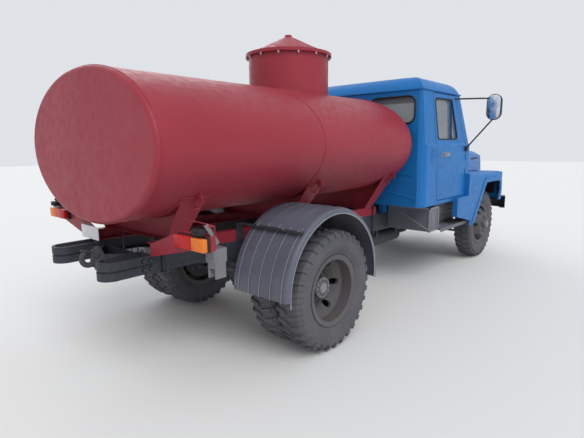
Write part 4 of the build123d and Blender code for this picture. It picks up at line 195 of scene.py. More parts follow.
def add_line(bm, points, radius, closed=False):
    """A round bar, bead or moulding along a line of points."""
    curve = bpy.data.curves.new("line", "CURVE")
    curve.dimensions = "3D"
    curve.bevel_depth = radius
    curve.bevel_resolution = 2
    curve.use_fill_caps = not closed
    spline = curve.splines.new("POLY")
    spline.points.add(len(points) - 1)
    for spot, point in zip(spline.points, points):
        spot.co = (*point, 1)
    spline.use_cyclic_u = closed
    mesh = bpy.data.meshes.new_from_object(bpy.data.objects.new("line", curve))
    bm.from_mesh(mesh)
    bpy.data.meshes.remove(mesh)
    bpy.data.curves.remove(curve)


TANK_HALF_WIDTH = 0.884
TANK_HALF_HEIGHT = 0.515
TANK_HEIGHT = 1.608


def tank_point(x, angle, out):
    """A point this far outside the tank, at this angle up from its left edge."""
    return Vector((x, (TANK_HALF_WIDTH + out) * math.cos(angle),
                   TANK_HEIGHT + (TANK_HALF_HEIGHT + out) * math.sin(angle)))


# The red's slight blue cast, strongest in the faded shade, is a painted sky reflection.
red_paint = paint("dull red paint", (0.275, 0.023, 0.038), (0.305, 0.032, 0.050),
                  (0.16, 0.080, 0.078), 0.4, mud=0.10, bump=0.015, under=0.10)
dress(red_paint, "tank_shell", "neck_lid", "tank_saddles", "sub_rails", "lamp_brackets",
      "tank_lugs")
bm = bmesh.new()
for x in (-2.940, -1.476, -0.012):
    seam = [tank_point(x, math.tau * i / 128, 0.0005) for i in range(128)]
    add_line(bm, seam, 0.0035, closed=True)
shape("tank_weld_beads", bm, red_paint, "chassis")


# Filler neck: a rolled steel ring welded into the tank, with a bolted lid. A
# bead runs round its foot, and fourteen hexagon bolts with bright nuts pass
# through the flanges.
def around(centre, radius, turn, axis):
    """A point on a circle about an axis through its centre."""
    first, second = radius * math.cos(turn), radius * math.sin(turn)
    offset = {"X": (0, first, second), "Y": (first, 0, second), "Z": (first, second, 0)}[axis]
    return tuple(c + o for c, o in zip(centre, offset))


def ring(centre, radius, count, axis, start=0.0):
    """Points spaced evenly round a circle, the first one part of a step on."""
    return [around(centre, radius, math.tau * (i + start) / count, axis) for i in range(count)]


def add_rod(bm, start, end, radius, sides, tip=None):
    """A round bar or cone between two points."""
    start, end = Vector(start), Vector(end)
    tip = radius if tip is None else tip
    made = bmesh.ops.create_cone(bm, cap_ends=True, segments=sides, radius1=radius, radius2=tip,
                                 depth=(end - start).length)["verts"]
    turned = (end - start).to_track_quat("Z", "Y").to_matrix()
    bmesh.ops.rotate(bm, verts=made, matrix=turned, cent=(0, 0, 0))
    bmesh.ops.translate(bm, verts=made, vec=(start + end) / 2)


def add_bolt(bm, place, way, across, head, stud=0.0):
    """A hexagon head or nut on its washer, standing on a face."""
    place, way = Vector(place), Vector(way).normalized()
    washer = 0.002
    add_rod(bm, place - way * washer, place + way * washer, across * 0.78, 20)
    add_rod(bm, place - way * 0.001, place + way * (washer + head), across / math.sqrt(3), 6)
    if stud:
        add_rod(bm, place, place + way * (washer + head + stud), across * 0.31, 12)


NECK_X = -0.912
NECK_RADIUS = 0.390
FLANGE_RADIUS = 0.4165
FLANGE_BOTTOM = 2.445
FLANGE_TOP = 2.469
BOLT_CIRCLE = 0.4035
LID_BOLTS = 14

bright_steel = paint("bare bright steel", (0.52, 0.50, 0.50), (0.62, 0.60, 0.60),
                     (0.30, 0.24, 0.22), 0.4, metal=0.2)
steel = paint("zinc plated steel", (0.20, 0.20, 0.21), (0.27, 0.26, 0.26),
              (0.13, 0.10, 0.08), 0.5, metal=0.5)
bm = bmesh.new()
foot = []
for x, y, height in ring((NECK_X, 0, TANK_HEIGHT + 0.001), NECK_RADIUS, 96, "Z"):
    rise = TANK_HALF_HEIGHT * math.sqrt(1 - (y / TANK_HALF_WIDTH) ** 2)
    foot.append((x, y, height + rise))
add_line(bm, foot, 0.006, closed=True)
for height in (FLANGE_BOTTOM - 0.0015, FLANGE_TOP + 0.0005):
    add_line(bm, ring((NECK_X, 0, height), FLANGE_RADIUS, 96, "Z"), 0.0015, closed=True)
shape("neck_weld_beads", bm, red_paint, "chassis")
bolts, nuts = bmesh.new(), bmesh.new()
for x, y, height in ring((NECK_X, 0, FLANGE_TOP), BOLT_CIRCLE, LID_BOLTS, "Z", start=0.12):
    add_bolt(bolts, (x, y, height), (0, 0, 1), across=0.013, head=0.006)
    add_bolt(nuts, (x, y, FLANGE_BOTTOM), (0, 0, -1), across=0.016, head=0.012, stud=0.009)
shape("neck_bolts", bolts, red_paint, "chassis")
shape("neck_nuts", nuts, bright_steel, "chassis")


# Saddles: welded plate cradles with a rolled pad strip under the tank. Plate
# lugs on the tank are drawn down to the saddle tips by short lashing bolts.
def add_block(bm, low, high, bevel=0.0, lean=None):
    """A box between two corners, with its edges eased, and turned if it leans."""
    low, high = Vector(low), Vector(high)
    verts = bmesh.ops.create_cube(bm, size=1)["verts"]
    bmesh.ops.scale(bm, verts=verts, vec=[abs(d) for d in high - low])
    bmesh.ops.translate(bm, verts=verts, vec=(low + high) / 2)
    if bevel:
        edges = list(dict.fromkeys(edge for vert in verts for edge in vert.link_edges))
        verts = bmesh.ops.bevel(bm, geom=edges, offset=bevel, segments=2, profile=0.5,
                                affect="EDGES", material=-1)["verts"]
    if lean is not None:
        bmesh.ops.rotate(bm, verts=verts, cent=(low + high) / 2, matrix=lean)


SADDLE_STATIONS = (-2.585, -1.3425, -0.100)
PAD_LENGTH = 0.230
PAD_SPAN = 1.40
PAD_THICKNESS = 0.006

bm = bmesh.new()
for x in SADDLE_STATIONS:
    grid = bmesh.ops.create_grid(bm, x_segments=1, y_segments=36, size=0.5)["verts"]
    faces = list(dict.fromkeys(face for vert in grid for face in vert.link_faces))
    for vert in grid:
        side = vert.co.y * PAD_SPAN
        drop = (TANK_HALF_HEIGHT + 0.0015) * math.sqrt(1 - (side / (TANK_HALF_WIDTH + 0.003)) ** 2)
        vert.co = (x + vert.co.x * PAD_LENGTH, side, TANK_HEIGHT - drop)
    underside = bmesh.ops.extrude_face_region(bm, geom=faces)["geom"]
    for vert in [item for item in underside if isinstance(item, bmesh.types.BMVert)]:
        vert.co.z -= PAD_THICKNESS
shape("saddle_pads", bm, red_paint, "chassis")
bm = bmesh.new()
for x in SADDLE_STATIONS:
    for side in (-1, 1):
        top, foot = Vector((x, side * 0.728, 1.290)), Vector((x, side * 0.673, 1.216))
        way = (top - foot).normalized()
        add_rod(bm, top + way * 0.018, foot - way * 0.012, 0.0055, 12)
        add_bolt(bm, top + way * 0.006, way, across=0.017, head=0.008)
        add_bolt(bm, foot - way * 0.002, -way, across=0.017, head=0.008)
        add_block(bm, (x - 0.020, side * 0.655, 1.208), (x + 0.020, side * 0.692, 1.216), 0.002)
shape("lashing_bolts", bm, red_paint, "chassis")

# Frame: pressed channel rails under black paint, with round rivet heads at the
# cross-members. Forged clamps hold the red sub-rails down on the rails.
RAIL_TOP = 0.823
RAIL_FALL = 0.0236
RAIL_FACE = 0.430

black_paint = paint("black frame paint", (0.025, 0.029, 0.040), (0.045, 0.050, 0.064),
                    (0.10, 0.094, 0.088), 0.5, low=0.2, high=1.2, mud=0.5, under=0.2)
dress(black_paint, "frame_rails", "crossmembers", "rear_axle", "front_axle", "radiator",
      "propeller_shaft", "fuel_tank", "front_bumper", "track_rod", "mudguard_bars",
      "rear_buffers", "silencer")
bm = bmesh.new()
# Columns: places along the frame, half the rail's depth there, rivets above its middle
for places, half_depth, rivet_rise in (
        ((-2.66,), 0.055, 0.0288),
        ((-2.42, -1.95, -1.20, -0.70, -0.30, 0.30, 0.75, 1.10, 1.62), 0.0975, 0.045),
        ((2.62, 2.78), 0.065, 0.0288)):
    for x in places:
        middle = RAIL_TOP - RAIL_FALL * x - half_depth
        for side in (-1, 1):
            for up in (rivet_rise, -rivet_rise):
                for out in (-0.030, 0.030):
                    head = bmesh.ops.create_uvsphere(bm, u_segments=10, v_segments=6,
                                                     radius=0.008)["verts"]
                    bmesh.ops.scale(bm, verts=head, vec=(1, 0.55, 1))
                    place = (x + out, side * RAIL_FACE, middle + up)
                    bmesh.ops.translate(bm, verts=head, vec=place)
shape("frame_rivets", bm, black_paint, "chassis", angle=80)
bm = bmesh.new()
# Columns: place along the frame, side, top and bottom of the clamp
for x, side, high, low in (
        (0.0, -1, 0.917, 0.622),
        (0.0, 1, 0.917, 0.622),
        (-2.567, 1, 0.978, 0.767),
        (-2.695, -1, 0.981, 0.770)):
    for reach in (0.336, 0.442):
        add_rod(bm, (x, side * reach, low - 0.030), (x, side * reach, high + 0.022), 0.008, 12)
        add_bolt(bm, (x, side * reach, high + 0.006), (0, 0, 1), across=0.022, head=0.012)
        add_bolt(bm, (x, side * reach, low - 0.010), (0, 0, -1), across=0.022, head=0.012)
    for height in (low, high):
        add_block(bm, (x - 0.022, side * 0.318, height - 0.006),
                  (x + 0.022, side * 0.462, height + 0.006), 0.002)
shape("rail_clamps", bm, black_paint, "chassis")

# Rear lamps: a red and an amber moulded lens, side by side on each bracket,
# in a black housing, with a small marker lamp above and a bare steel stay.
LENS_BACK = -2.830

plastic = paint("black plastic", (0.014, 0.014, 0.017), (0.024, 0.024, 0.028),
                (0.06, 0.055, 0.05), 0.55, under=0.1)
dress(plastic, "front_grille", "dashboard", "steering_wheel", "mirror_left", "mirror_right")
red_lens = paint("red lens", (0.48, 0.012, 0.014), (0.55, 0.02, 0.02), (0.28, 0.05, 0.04), 0.22)
amber = paint("amber lens", (0.72, 0.16, 0.015), (0.80, 0.22, 0.03), (0.35, 0.14, 0.06), 0.22)
red_glass, amber_glass, housing = bmesh.new(), bmesh.new(), bmesh.new()
for side in (-1, 1):
    add_block(housing, (-2.802, side * 0.772, 1.016), (-2.780, side * 1.070, 1.101), 0.004)
    # Columns: lens, its inner and outer edge
    for lens, near, far in ((red_glass, 0.780, 0.944), (amber_glass, 0.950, 1.066)):
        add_block(lens, (-2.833, side * near, 1.020), (-2.800, side * far, 1.097), 0.006)
        for i in range(6):
            height = 1.031 + 0.011 * i
            add_block(lens, (-2.8345, side * (near + 0.008), height - 0.0025),
                      (LENS_BACK, side * (far - 0.008), height + 0.0025), 0.001)
    add_block(housing, (-2.832, side * 0.958, 1.112), (-2.786, side * 1.040, 1.150), 0.006)
    for out in (0.976, 1.000, 1.022):
        add_rod(housing, (-2.835, side * out, 1.131), (LENS_BACK, side * out, 1.131), 0.007, 12)
lamp_case = shape("rear_lamp_housings", housing, plastic, "chassis")
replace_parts(lamp_case, "rear_lamps")
shape("rear_red_lenses", red_glass, red_lens, "chassis")
shape("rear_amber_lenses", amber_glass, amber, "chassis")
bm = bmesh.new()
for side in (-1, 1):
    add_block(bm, (-2.763, side * 1.040, 1.040), (-2.737, side * 1.046, 1.185), 0.001,
              Matrix.Rotation(math.radians(-34), 3, "Y"))
    for out in (0.800, 0.862):
        add_bolt(bm, (-2.776, side * out, 1.072), (1, 0, 0), across=0.012, head=0.005)
shape("lamp_stays", bm, steel, "chassis")

# Number plate: a blank pressed sheet with a folded rim, held by two screws.
# It hangs left of the middle, under the tank's rear head.
PLATE_Y = 0.350
PLATE_Z = 0.965
PLATE_HALF_WIDTH = 0.137
PLATE_HALF_HEIGHT = 0.047

white = paint("plate white", (0.80, 0.81, 0.84), (0.86, 0.86, 0.88), (0.45, 0.43, 0.40), 0.4,
              mud=0.2)
dress(white, "number_plate")
bm = bmesh.new()
rim = [(-2.822, PLATE_Y + y * PLATE_HALF_WIDTH, PLATE_Z + z * PLATE_HALF_HEIGHT)
       for y, z in ((-1, -1), (1, -1), (1, 1), (-1, 1))]
add_line(bm, rim, 0.0015, closed=True)
for out in (-0.088, 0.088):
    add_rod(bm, (-2.825, PLATE_Y + out, 0.993), (-2.820, PLATE_Y + out, 0.993), 0.0055, 12)
shape("plate_rim", bm, white, "chassis")

# Buffers and tow hook: welded steel buffer boxes bolted to the rail ends, and
# a forged hook on a round flange with four bolts, a spring latch and its pin.
casting = paint("dirty forged steel", (0.045, 0.045, 0.052), (0.075, 0.07, 0.07),
                (0.11, 0.085, 0.065), 0.6, mud=0.5, bump=0.2, under=0.3)
dress(casting, "engine_block", "knuckle_left", "knuckle_right", "tow_hook", "leaf_springs")
bm = bmesh.new()
for place in ring((-2.941, 0, 0.833), 0.072, 4, "X", start=0.5):
    add_bolt(bm, place, (-1, 0, 0), across=0.022, head=0.012)
for side in (-1, 1):
    for x in (-2.785, -2.835):
        for height in (0.812, 0.868):
            add_bolt(bm, (x, side * 0.428, height), (0, side, 0), across=0.019, head=0.009)
shape("draft_bolts", bm, casting, "chassis")
bm = bmesh.new()
add_block(bm, (-3.050, -0.012, 0.899), (-2.972, 0.012, 0.909), 0.003,
          Matrix.Rotation(math.radians(16), 3, "Y"))
add_rod(bm, (-2.968, -0.022, 0.898), (-2.968, 0.022, 0.898), 0.006, 12)
shape("hook_latch", bm, casting, "chassis")

# Mudguards: rolled steel arches in charcoal enamel over each pair of twins,
# rubbed pale along the ribs and outer edge, and bolted to two flat bars.
GUARD_X = -1.600
GUARD_Z = 0.552
GUARD_EDGE_RADIUS = 0.546
GUARD_RIB_RADIUS = 0.5905

guard_paint = paint("charcoal guard paint", (0.088, 0.095, 0.128), (0.122, 0.130, 0.168),
                    (0.15, 0.14, 0.14), 0.30, grain=14, low=0.3, high=1.1, mud=0.4, under=0.6)
dress(guard_paint, "mudguards")
worn_edge = paint("rubbed guard edge", (0.25, 0.26, 0.30), (0.34, 0.35, 0.38),
                  (0.12, 0.12, 0.13), 0.45)
edge, bolts = bmesh.new(), bmesh.new()
for side in (-1, 1):
    turns = [math.radians(-7.4 + 192.8 * i / 64) for i in range(65)]
    add_line(edge, [around((GUARD_X, side * 1.0975, GUARD_Z), GUARD_EDGE_RADIUS, turn, "Y")
                    for turn in turns], 0.0045)
    turns = [math.radians(126 + 55 * i / 24) for i in range(25)]
    for out in (0.6167, 0.7241, 0.8315, 0.9389, 1.0463):
        add_line(edge, [around((GUARD_X, side * out, GUARD_Z), GUARD_RIB_RADIUS, turn, "Y")
                        for turn in turns], 0.0022)
    for x in (-2.000, -1.200):
        for out in (0.640, 0.900, 1.045):
            add_bolt(bolts, (x, side * out, 1.015), (0, 0, 1), across=0.017, head=0.007)
shape("guard_edges", edge, worn_edge, "chassis")
shape("guard_bolts", bolts, steel, "chassis")

# Springs and axles: stacks of steel leaves held to each axle by pairs of bent
# clamp bolts over a forged pad, and a pressed cover bolted to the rear housing.
FRONT_AXLE_X = 2.19
REAR_AXLE_X = -1.58
AXLE_HEIGHT = 0.481
HOOP_HALF_WIDTH = 0.0415

bm = bmesh.new()
# Columns: axle place, spring side, pad top, plate bottom, reach along the spring
for axle_x, middle, pad, plate, reach in (
        (REAR_AXLE_X, 0.485, 0.646, 0.417, 0.070),
        (FRONT_AXLE_X, 0.397, 0.520, 0.360, 0.058)):
    for side in (-1, 1):
        centre = side * middle
        add_block(bm, (axle_x - reach - 0.014, centre - 0.036, pad),
                  (axle_x + reach + 0.014, centre + 0.036, pad + 0.014), 0.003)
        add_block(bm, (axle_x - reach - 0.018, centre - 0.050, plate),
                  (axle_x + reach + 0.018, centre + 0.050, plate + 0.012), 0.003)
        for x in (axle_x - reach, axle_x + reach):
            hoop = [(x, centre - HOOP_HALF_WIDTH, plate - 0.020)]
            for i in range(9):
                turn = math.pi * i / 8
                hoop.append((x, centre - HOOP_HALF_WIDTH * math.cos(turn),
                             pad + 0.012 + 0.012 * math.sin(turn)))
            hoop.append((x, centre + HOOP_HALF_WIDTH, plate - 0.020))
            add_line(bm, hoop, 0.0075)
            for out in (-HOOP_HALF_WIDTH, HOOP_HALF_WIDTH):
                add_bolt(bm, (x, centre + out, plate), (0, 0, -1), across=0.024, head=0.012)
for place in ring((-1.661, 0, AXLE_HEIGHT), 0.158, 10, "X"):
    add_bolt(bm, place, (-1, 0, 0), across=0.017, head=0.009)
shape("spring_clamps", bm, casting, "chassis")

# Tyres: bias-ply truck tyres with a plain sidewall and two rows of coarse
# lugs that run over the shoulders; the rubber is dry and packed with soil.
TREAD_RADIUS = 0.4806
TYRE_BASE = 0.459
LUGS = 32
LUG_WIDTH = 0.039
LUG_LEAN = 0.019
# Columns: radius, distance out from the middle of the tyre
TYRE_PROFILE = [
    (0.2565, 0.060), (0.2565, 0.0745), (0.268, 0.078), (0.289, 0.0815), (0.296, 0.0855),
    (0.299, 0.0905), (0.304, 0.0920), (0.309, 0.0935), (0.322, 0.104), (0.345, 0.1135),
    (0.372, 0.1172), (0.400, 0.1162), (0.414, 0.1145), (0.418, 0.1160), (0.422, 0.1125),
    (0.440, 0.102), (0.454, 0.090), (TYRE_BASE, 0.070), (TYRE_BASE + 0.002, 0.035),
    (TYRE_BASE + 0.003, 0.0),
]
TYRE_LINER = [(0.448, 0.0), (0.446, 0.060), (0.400, 0.098), (0.340, 0.092), (0.290, 0.066)]
rubber = paint("dry tyre rubber", (0.075, 0.076, 0.092), (0.112, 0.111, 0.126),
               (0.16, 0.135, 0.115), 0.75, grain=16, low=0.0, high=1.1, mud=0.5, bump=0.25)


def spin_ring(bm, profile, centre):
    """Turn a closed profile of (radius, sideways) points about an axle along Y."""
    start = [bm.verts.new(centre + Vector((0, out, radius))) for radius, out in profile]
    edges = [bm.edges.new(pair) for pair in zip(start, start[1:] + start[:1])]
    bmesh.ops.spin(bm, geom=start + edges, cent=centre, axis=(0, 1, 0), angle=math.tau, steps=72,
                   use_merge=True)


def add_lug(bm, centre, side, angle):
    """One tread lug: a tapered block on the crown and its end down over the shoulder."""
    # Columns: inner and outer reach, height of the top at each, foot, lean at each
    for near, far, top_near, top_far, foot, lean_near, lean_far in (
            (0.010, 0.099, TREAD_RADIUS, 0.470, TYRE_BASE - 0.012, 0.0, LUG_LEAN),
            (0.085, 0.1172, 0.471, 0.440, 0.412, LUG_LEAN, LUG_LEAN)):
        made = bmesh.ops.create_cube(bm, size=1)["verts"]
        for vert in made:
            along, out, up = vert.co
            width = LUG_WIDTH * (1.0 if up < 0 else 0.82)
            reach, lean, top = (far, lean_far, top_far) if out > 0 else (near, lean_near, top_near)
            vert.co = (along * width + lean, side * reach, foot if up < 0 else top)
        bmesh.ops.rotate(bm, verts=made, cent=(0, 0, 0), matrix=Matrix.Rotation(angle, 3, "Y"))
        bmesh.ops.translate(bm, verts=made, vec=centre)


for side, sign in (("left", 1), ("right", -1)):
    # Columns: piece, body, node it stands for, axle place, middles of its tyres
    for name, body, node, axle_x, middles in (
            (f"front_tread_{side}", f"front_wheel_{side}", f"front_tyre_{side}",
             FRONT_AXLE_X, (sign * 0.815,)),
            (f"rear_treads_{side}", f"rear_wheels_{side}", f"rear_tyres_{side}",
             REAR_AXLE_X, (sign * 0.695, sign * 0.965))):
        bm = bmesh.new()
        for middle in middles:
            centre = Vector((axle_x, middle, AXLE_HEIGHT))
            outer = TYRE_PROFILE + [(radius, -out) for radius, out in reversed(TYRE_PROFILE[:-1])]
            inner = [(radius, -out) for radius, out in reversed(TYRE_LINER[1:])] + TYRE_LINER
            spin_ring(bm, outer + inner, centre)
            bmesh.ops.remove_doubles(bm, verts=bm.verts, dist=1e-5)
            # The two rows of lugs stand half a step apart
            for half, start in ((-1, 0.75), (1, 0.25)):
                for index in range(LUGS):
                    add_lug(bm, centre, half, math.tau * (index + start) / LUGS)
        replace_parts(shape(name, bm, rubber, body), node)

# Wheels: welded steel discs with six nuts on each, under worn black paint and
# brake dust. The hubs end in pale cast covers with a ring of bolts.
WHEEL_NUTS = 6
NUT_CIRCLE = 0.111
VALVE_RADIUS = 0.256

wheel_paint = paint("worn wheel paint", (0.080, 0.079, 0.088), (0.122, 0.115, 0.118),
                    (0.14, 0.11, 0.095), 0.55, grain=14, low=0.0, high=1.2, mud=0.6, bump=0.12)
dress(wheel_paint, "front_rim_left", "front_rim_right", "rear_rims_left", "rear_rims_right")
hub_grey = paint("pale hub casting", (0.21, 0.21, 0.235), (0.29, 0.29, 0.31),
                 (0.10, 0.085, 0.075), 0.6, grain=20, low=0.0, high=1.2, mud=0.5, bump=0.15)
dress(hub_grey, "spring_brackets")
for side, sign in (("left", 1), ("right", -1)):
    # Columns: axle, body, axle place, nut face; cover from and to, radius, bolts, their ring
    for axle, body, axle_x, face, start, end, radius, count, bolt_ring in (
            ("front", "front_wheel", FRONT_AXLE_X, 0.950, 0.990, 0.996, 0.062, 6, 0.050),
            ("rear", "rear_wheels", REAR_AXLE_X, 0.842, 0.929, 0.937, 0.0835, 12, 0.072)):
        nuts, cover = bmesh.new(), bmesh.new()
        disc = (axle_x, sign * face, AXLE_HEIGHT)
        for place in ring(disc, NUT_CIRCLE, WHEEL_NUTS, "Y", start=0.5):
            add_bolt(nuts, place, (0, sign, 0), across=0.032, head=0.018, stud=0.012)
        stem = Vector(around((axle_x, sign * (face + 0.010), AXLE_HEIGHT), VALVE_RADIUS,
                             math.radians(62), "Y"))
        add_rod(nuts, stem, stem + Vector((0, sign * 0.046, 0)), 0.0045, 10)
        shape(f"{axle}_wheel_nuts_{side}", nuts, steel, f"{body}_{side}")
        add_rod(cover, (axle_x, sign * start, AXLE_HEIGHT), (axle_x, sign * end, AXLE_HEIGHT),
                radius, 40)
        add_rod(cover, (axle_x, sign * (end - 0.001), AXLE_HEIGHT),
                (axle_x, sign * (end + 0.013), AXLE_HEIGHT), radius * 0.66, 32, tip=radius * 0.50)
        for place in ring((axle_x, sign * end, AXLE_HEIGHT), bolt_ring, count, "Y"):
            add_bolt(cover, place, (0, sign, 0), across=0.017, head=0.008)
        shape(f"{axle}_hub_cover_{side}", cover, hub_grey, f"{body}_{side}")

# Cab: pressed and welded steel panels in mid blue gloss, dulled with age and
# dusty low down, with ribs pressed into the back wall. Mud has dried on inside
# the front arches.
BLUE, FADED_BLUE = (0.004, 0.135, 0.410), (0.008, 0.158, 0.455)

blue_paint = paint("blue paint", BLUE, FADED_BLUE, (0.09, 0.11, 0.14), 0.38,
                   mud=0.16, bump=0.02, under=0.20)
dress(blue_paint, "cab_shell", "door_left", "door_right", "bonnet", "nose_panel")
fender_paint = paint("blue fender paint", BLUE, FADED_BLUE, (0.11, 0.050, 0.040), 0.4,
                     low=0.3, high=1.2, mud=0.22, bump=0.02, under=0.95)
dress(fender_paint, "front_fenders")
bm = bmesh.new()
# Columns: radius, then points from the rib's end: distance out, height, place along the truck
for radius, half_rib in (
        (0.007, ((0.903, 0.990, 0.1145), (0.903, 1.205, 0.1145), (0.885, 1.220, 0.1140))),
        (0.009, ((0.890, 1.024, 0.1135), (0.560, 1.092, 0.1125)))):
    right = [(x, -out, height) for out, height, x in half_rib]
    left = [(x, out, height) for out, height, x in reversed(half_rib)]
    add_line(bm, right + left, radius)
shape("back_wall_ribs", bm, blue_paint, "chassis")


# Windows: flat panes in black moulded rubber, dusty at the edges; each door
# pane is split by the upright bar of its vent window. Two wiper arms in front.
def rounded(corners, radius):
    """The corners of a window outline turned into arcs."""
    line = []
    earlier, later = corners[-1:] + corners[:-1], corners[1:] + corners[:1]
    for before, corner, after in zip(earlier, corners, later):
        first, second = (before - corner).normalized(), (after - corner).normalized()
        half = first.angle(second) / 2
        centre = corner + (first + second).normalized() * (radius / math.sin(half))
        start = corner + first * (radius / math.tan(half)) - centre
        end = corner + second * (radius / math.tan(half)) - centre
        line += [centre + start.lerp(end, i / 6).normalized() * radius for i in range(7)]
    return line


def on_screen(y, z, out):
    """A point this far in front of the sloping windscreen."""
    return Vector((1.405 - 0.521 * (z - 1.600) + 0.887 * out, y, z + 0.462 * out))


def on_side(x, z, sign):
    """A point on the cab's side, which leans in above the waist."""
    return Vector((x, sign * (0.957 - 0.0542 * (z - 1.615)), z))


glass = paint("window glass", (0.20, 0.23, 0.25), (0.26, 0.29, 0.31), (0.30, 0.30, 0.30), 0.06,
              mud=0.3, bump=0.0, alpha=0.42)
dress(glass, "cab_glass", "door_glass_left", "door_glass_right")
seal = paint("black window rubber", (0.012, 0.012, 0.013), (0.022, 0.022, 0.024),
             (0.05, 0.05, 0.05), 0.6)
bm = bmesh.new()
for middle in (-0.585, 0.585):
    corners = [Vector((0.107, middle + y, 1.968 + z)) for y, z in
               ((-0.267, -0.1395), (0.267, -0.1395), (0.267, 0.1395), (-0.267, 0.1395))]
    add_line(bm, rounded(corners, 0.077), 0.010, closed=True)
corners = [on_screen(y, z, 0.002) for y, z in
           ((-0.852, 1.666), (0.852, 1.666), (0.772, 2.142), (-0.772, 2.142))]
add_line(bm, rounded(corners, 0.082), 0.010, closed=True)
shape("cab_window_seals", bm, seal, "chassis")
for side, sign in (("left", 1), ("right", -1)):
    bm = bmesh.new()
    corners = [on_side(x, z, sign) for x, z in
               ((0.488, 1.660), (0.416, 2.100), (0.873, 2.110), (1.042, 1.663))]
    add_line(bm, rounded(corners, 0.038), 0.0065, closed=True)
    add_line(bm, [on_side(0.846, 1.664, sign), on_side(0.846, 2.106, sign)], 0.0095)
    shape(f"door_window_seal_{side}", bm, seal, f"door_{side}")
bm = bmesh.new()
for pivot in (-0.44, 0.04):
    add_rod(bm, on_screen(pivot, 1.632, -0.004), on_screen(pivot, 1.632, 0.020), 0.012, 16)
    add_line(bm, [on_screen(pivot, 1.632, 0.016), on_screen(pivot + 0.07, 1.668, 0.022),
                  on_screen(pivot + 0.22, 1.716, 0.020)], 0.0045)
    add_line(bm, [on_screen(pivot + 0.03, 1.706, 0.014), on_screen(pivot + 0.42, 1.722, 0.014)],
             0.0055)
shape("wipers", bm, plastic, "chassis")

# Door fittings: a chromed pull handle in a pressed plate, with painted shade as
# a black sheet behind its bar, a key lock below it, a louvred vent on the post
# behind, and silvered glass in each mirror head.
LOCK_X = 0.602
LOCK_Z = 1.371

chrome = paint("dull chrome", (0.28, 0.28, 0.30), (0.36, 0.36, 0.38), (0.18, 0.15, 0.13), 0.25,
               metal=0.9)
silver = paint("mirror silver", (0.72, 0.75, 0.78), (0.80, 0.82, 0.84), (0.4, 0.4, 0.4), 0.07,
               mud=0.1, bump=0.0, metal=1.0)
for side, sign in (("left", 1), ("right", -1)):
    bm = bmesh.new()
    add_block(bm, (0.560, sign * 0.969, 1.468), (0.770, sign * 0.9755, 1.512), 0.003)
    add_block(bm, (0.590, sign * 0.990, 1.479), (0.755, sign * 0.998, 1.497), 0.003)
    for x in (0.598, 0.742):
        add_block(bm, (x - 0.008, sign * 0.972, 1.481), (x + 0.008, sign * 0.994, 1.495), 0.002)
    add_rod(bm, (LOCK_X, sign * 0.968, LOCK_Z), (LOCK_X, sign * 0.977, LOCK_Z), 0.012, 20)
    shape(f"door_handle_{side}", bm, chrome, f"door_{side}")
    bm = bmesh.new()
    add_rod(bm, (LOCK_X, sign * 0.970, LOCK_Z), (LOCK_X, sign * 0.978, LOCK_Z), 0.0055, 12)
    # A black sheet on the plate behind the handle bar is painted shade under the grip.
    add_block(bm, (0.625, sign * 0.970, 1.476), (0.722, sign * 0.9765, 1.500), 0.002)
    shape(f"door_lock_and_handle_shade_{side}", bm, plastic, f"door_{side}")
    bm = bmesh.new()
    louvre_lean = Matrix.Rotation(math.radians(sign * 14), 3, "X")
    for i in range(9):
        height = 1.418 + 0.0175 * i
        add_block(bm, (0.285, sign * 0.969, height), (0.402, sign * 0.9755, height + 0.009),
                  0.0015, louvre_lean)
    shape(f"post_vent_{side}", bm, blue_paint, "chassis")
    bm = bmesh.new()
    add_block(bm, (1.3065, sign * 1.188, 1.895), (1.3100, sign * 1.336, 2.175))
    corners = [edge for edge in bm.edges if abs(edge.verts[0].co.x - edge.verts[1].co.x) > 0.003]
    bmesh.ops.bevel(bm, geom=corners, offset=0.058, segments=8, profile=0.5, affect="EDGES",
                    material=-1)
    shape(f"mirror_glass_{side}", bm, silver, f"door_{side}")

# Bonnet and nose: one pressed bonnet with two slit openings in each side, each
# drawn as a black bar of painted shade for the dark opening, and round
# headlamps in plated rims over amber direction lamps.
slit_shade = bmesh.new()
for side in (-1, 1):
    for height in (1.406, 1.390):
        add_line(slit_shade, [(2.10, side * 0.7554, height), (2.60, side * 0.6722, height)], 0.006)
shape("bonnet_slit_shade", slit_shade, plastic, "bonnet")
lamp_glass = paint("headlamp glass", (0.55, 0.58, 0.60), (0.65, 0.67, 0.68), (0.3, 0.28, 0.25),
                   0.1, metal=0.4)
dress(lamp_glass, "headlamps")
rims, lenses = bmesh.new(), bmesh.new()
for side in (-1, 1):
    add_line(rims, ring((2.860, side * 0.742, 1.017), 0.093, 48, "X"), 0.007, closed=True)
    add_block(lenses, (2.836, side * 0.690, 0.812), (2.858, side * 0.794, 0.852), 0.006)
shape("headlamp_rims", rims, chrome, "chassis")
shape("front_direction_lamps", lenses, amber, "chassis")

# Steps and side boxes: grey painted sheet, with raised grip bars on the treads
# and pale angle strips along the edges of the battery box.
grey_paint = paint("grey sheet paint", (0.12, 0.13, 0.155), (0.165, 0.175, 0.205),
                   (0.11, 0.10, 0.09), 0.5, grain=14, low=0.3, high=1.1, mud=0.5, under=0.3)
dress(grey_paint, "steps", "battery_box")
bare = paint("worn bare strip", (0.24, 0.245, 0.27), (0.32, 0.32, 0.34), (0.12, 0.11, 0.10), 0.5,
             metal=0.3)
bm = bmesh.new()
for side in (-1, 1):
    for i in range(6):
        out = side * (0.826 + 0.026 * i)
        add_block(bm, (0.640, out - 0.004, 0.6385), (1.200, out + 0.004, 0.6435), 0.0015)
shape("step_grips", bm, grey_paint, "chassis")
bm = bmesh.new()
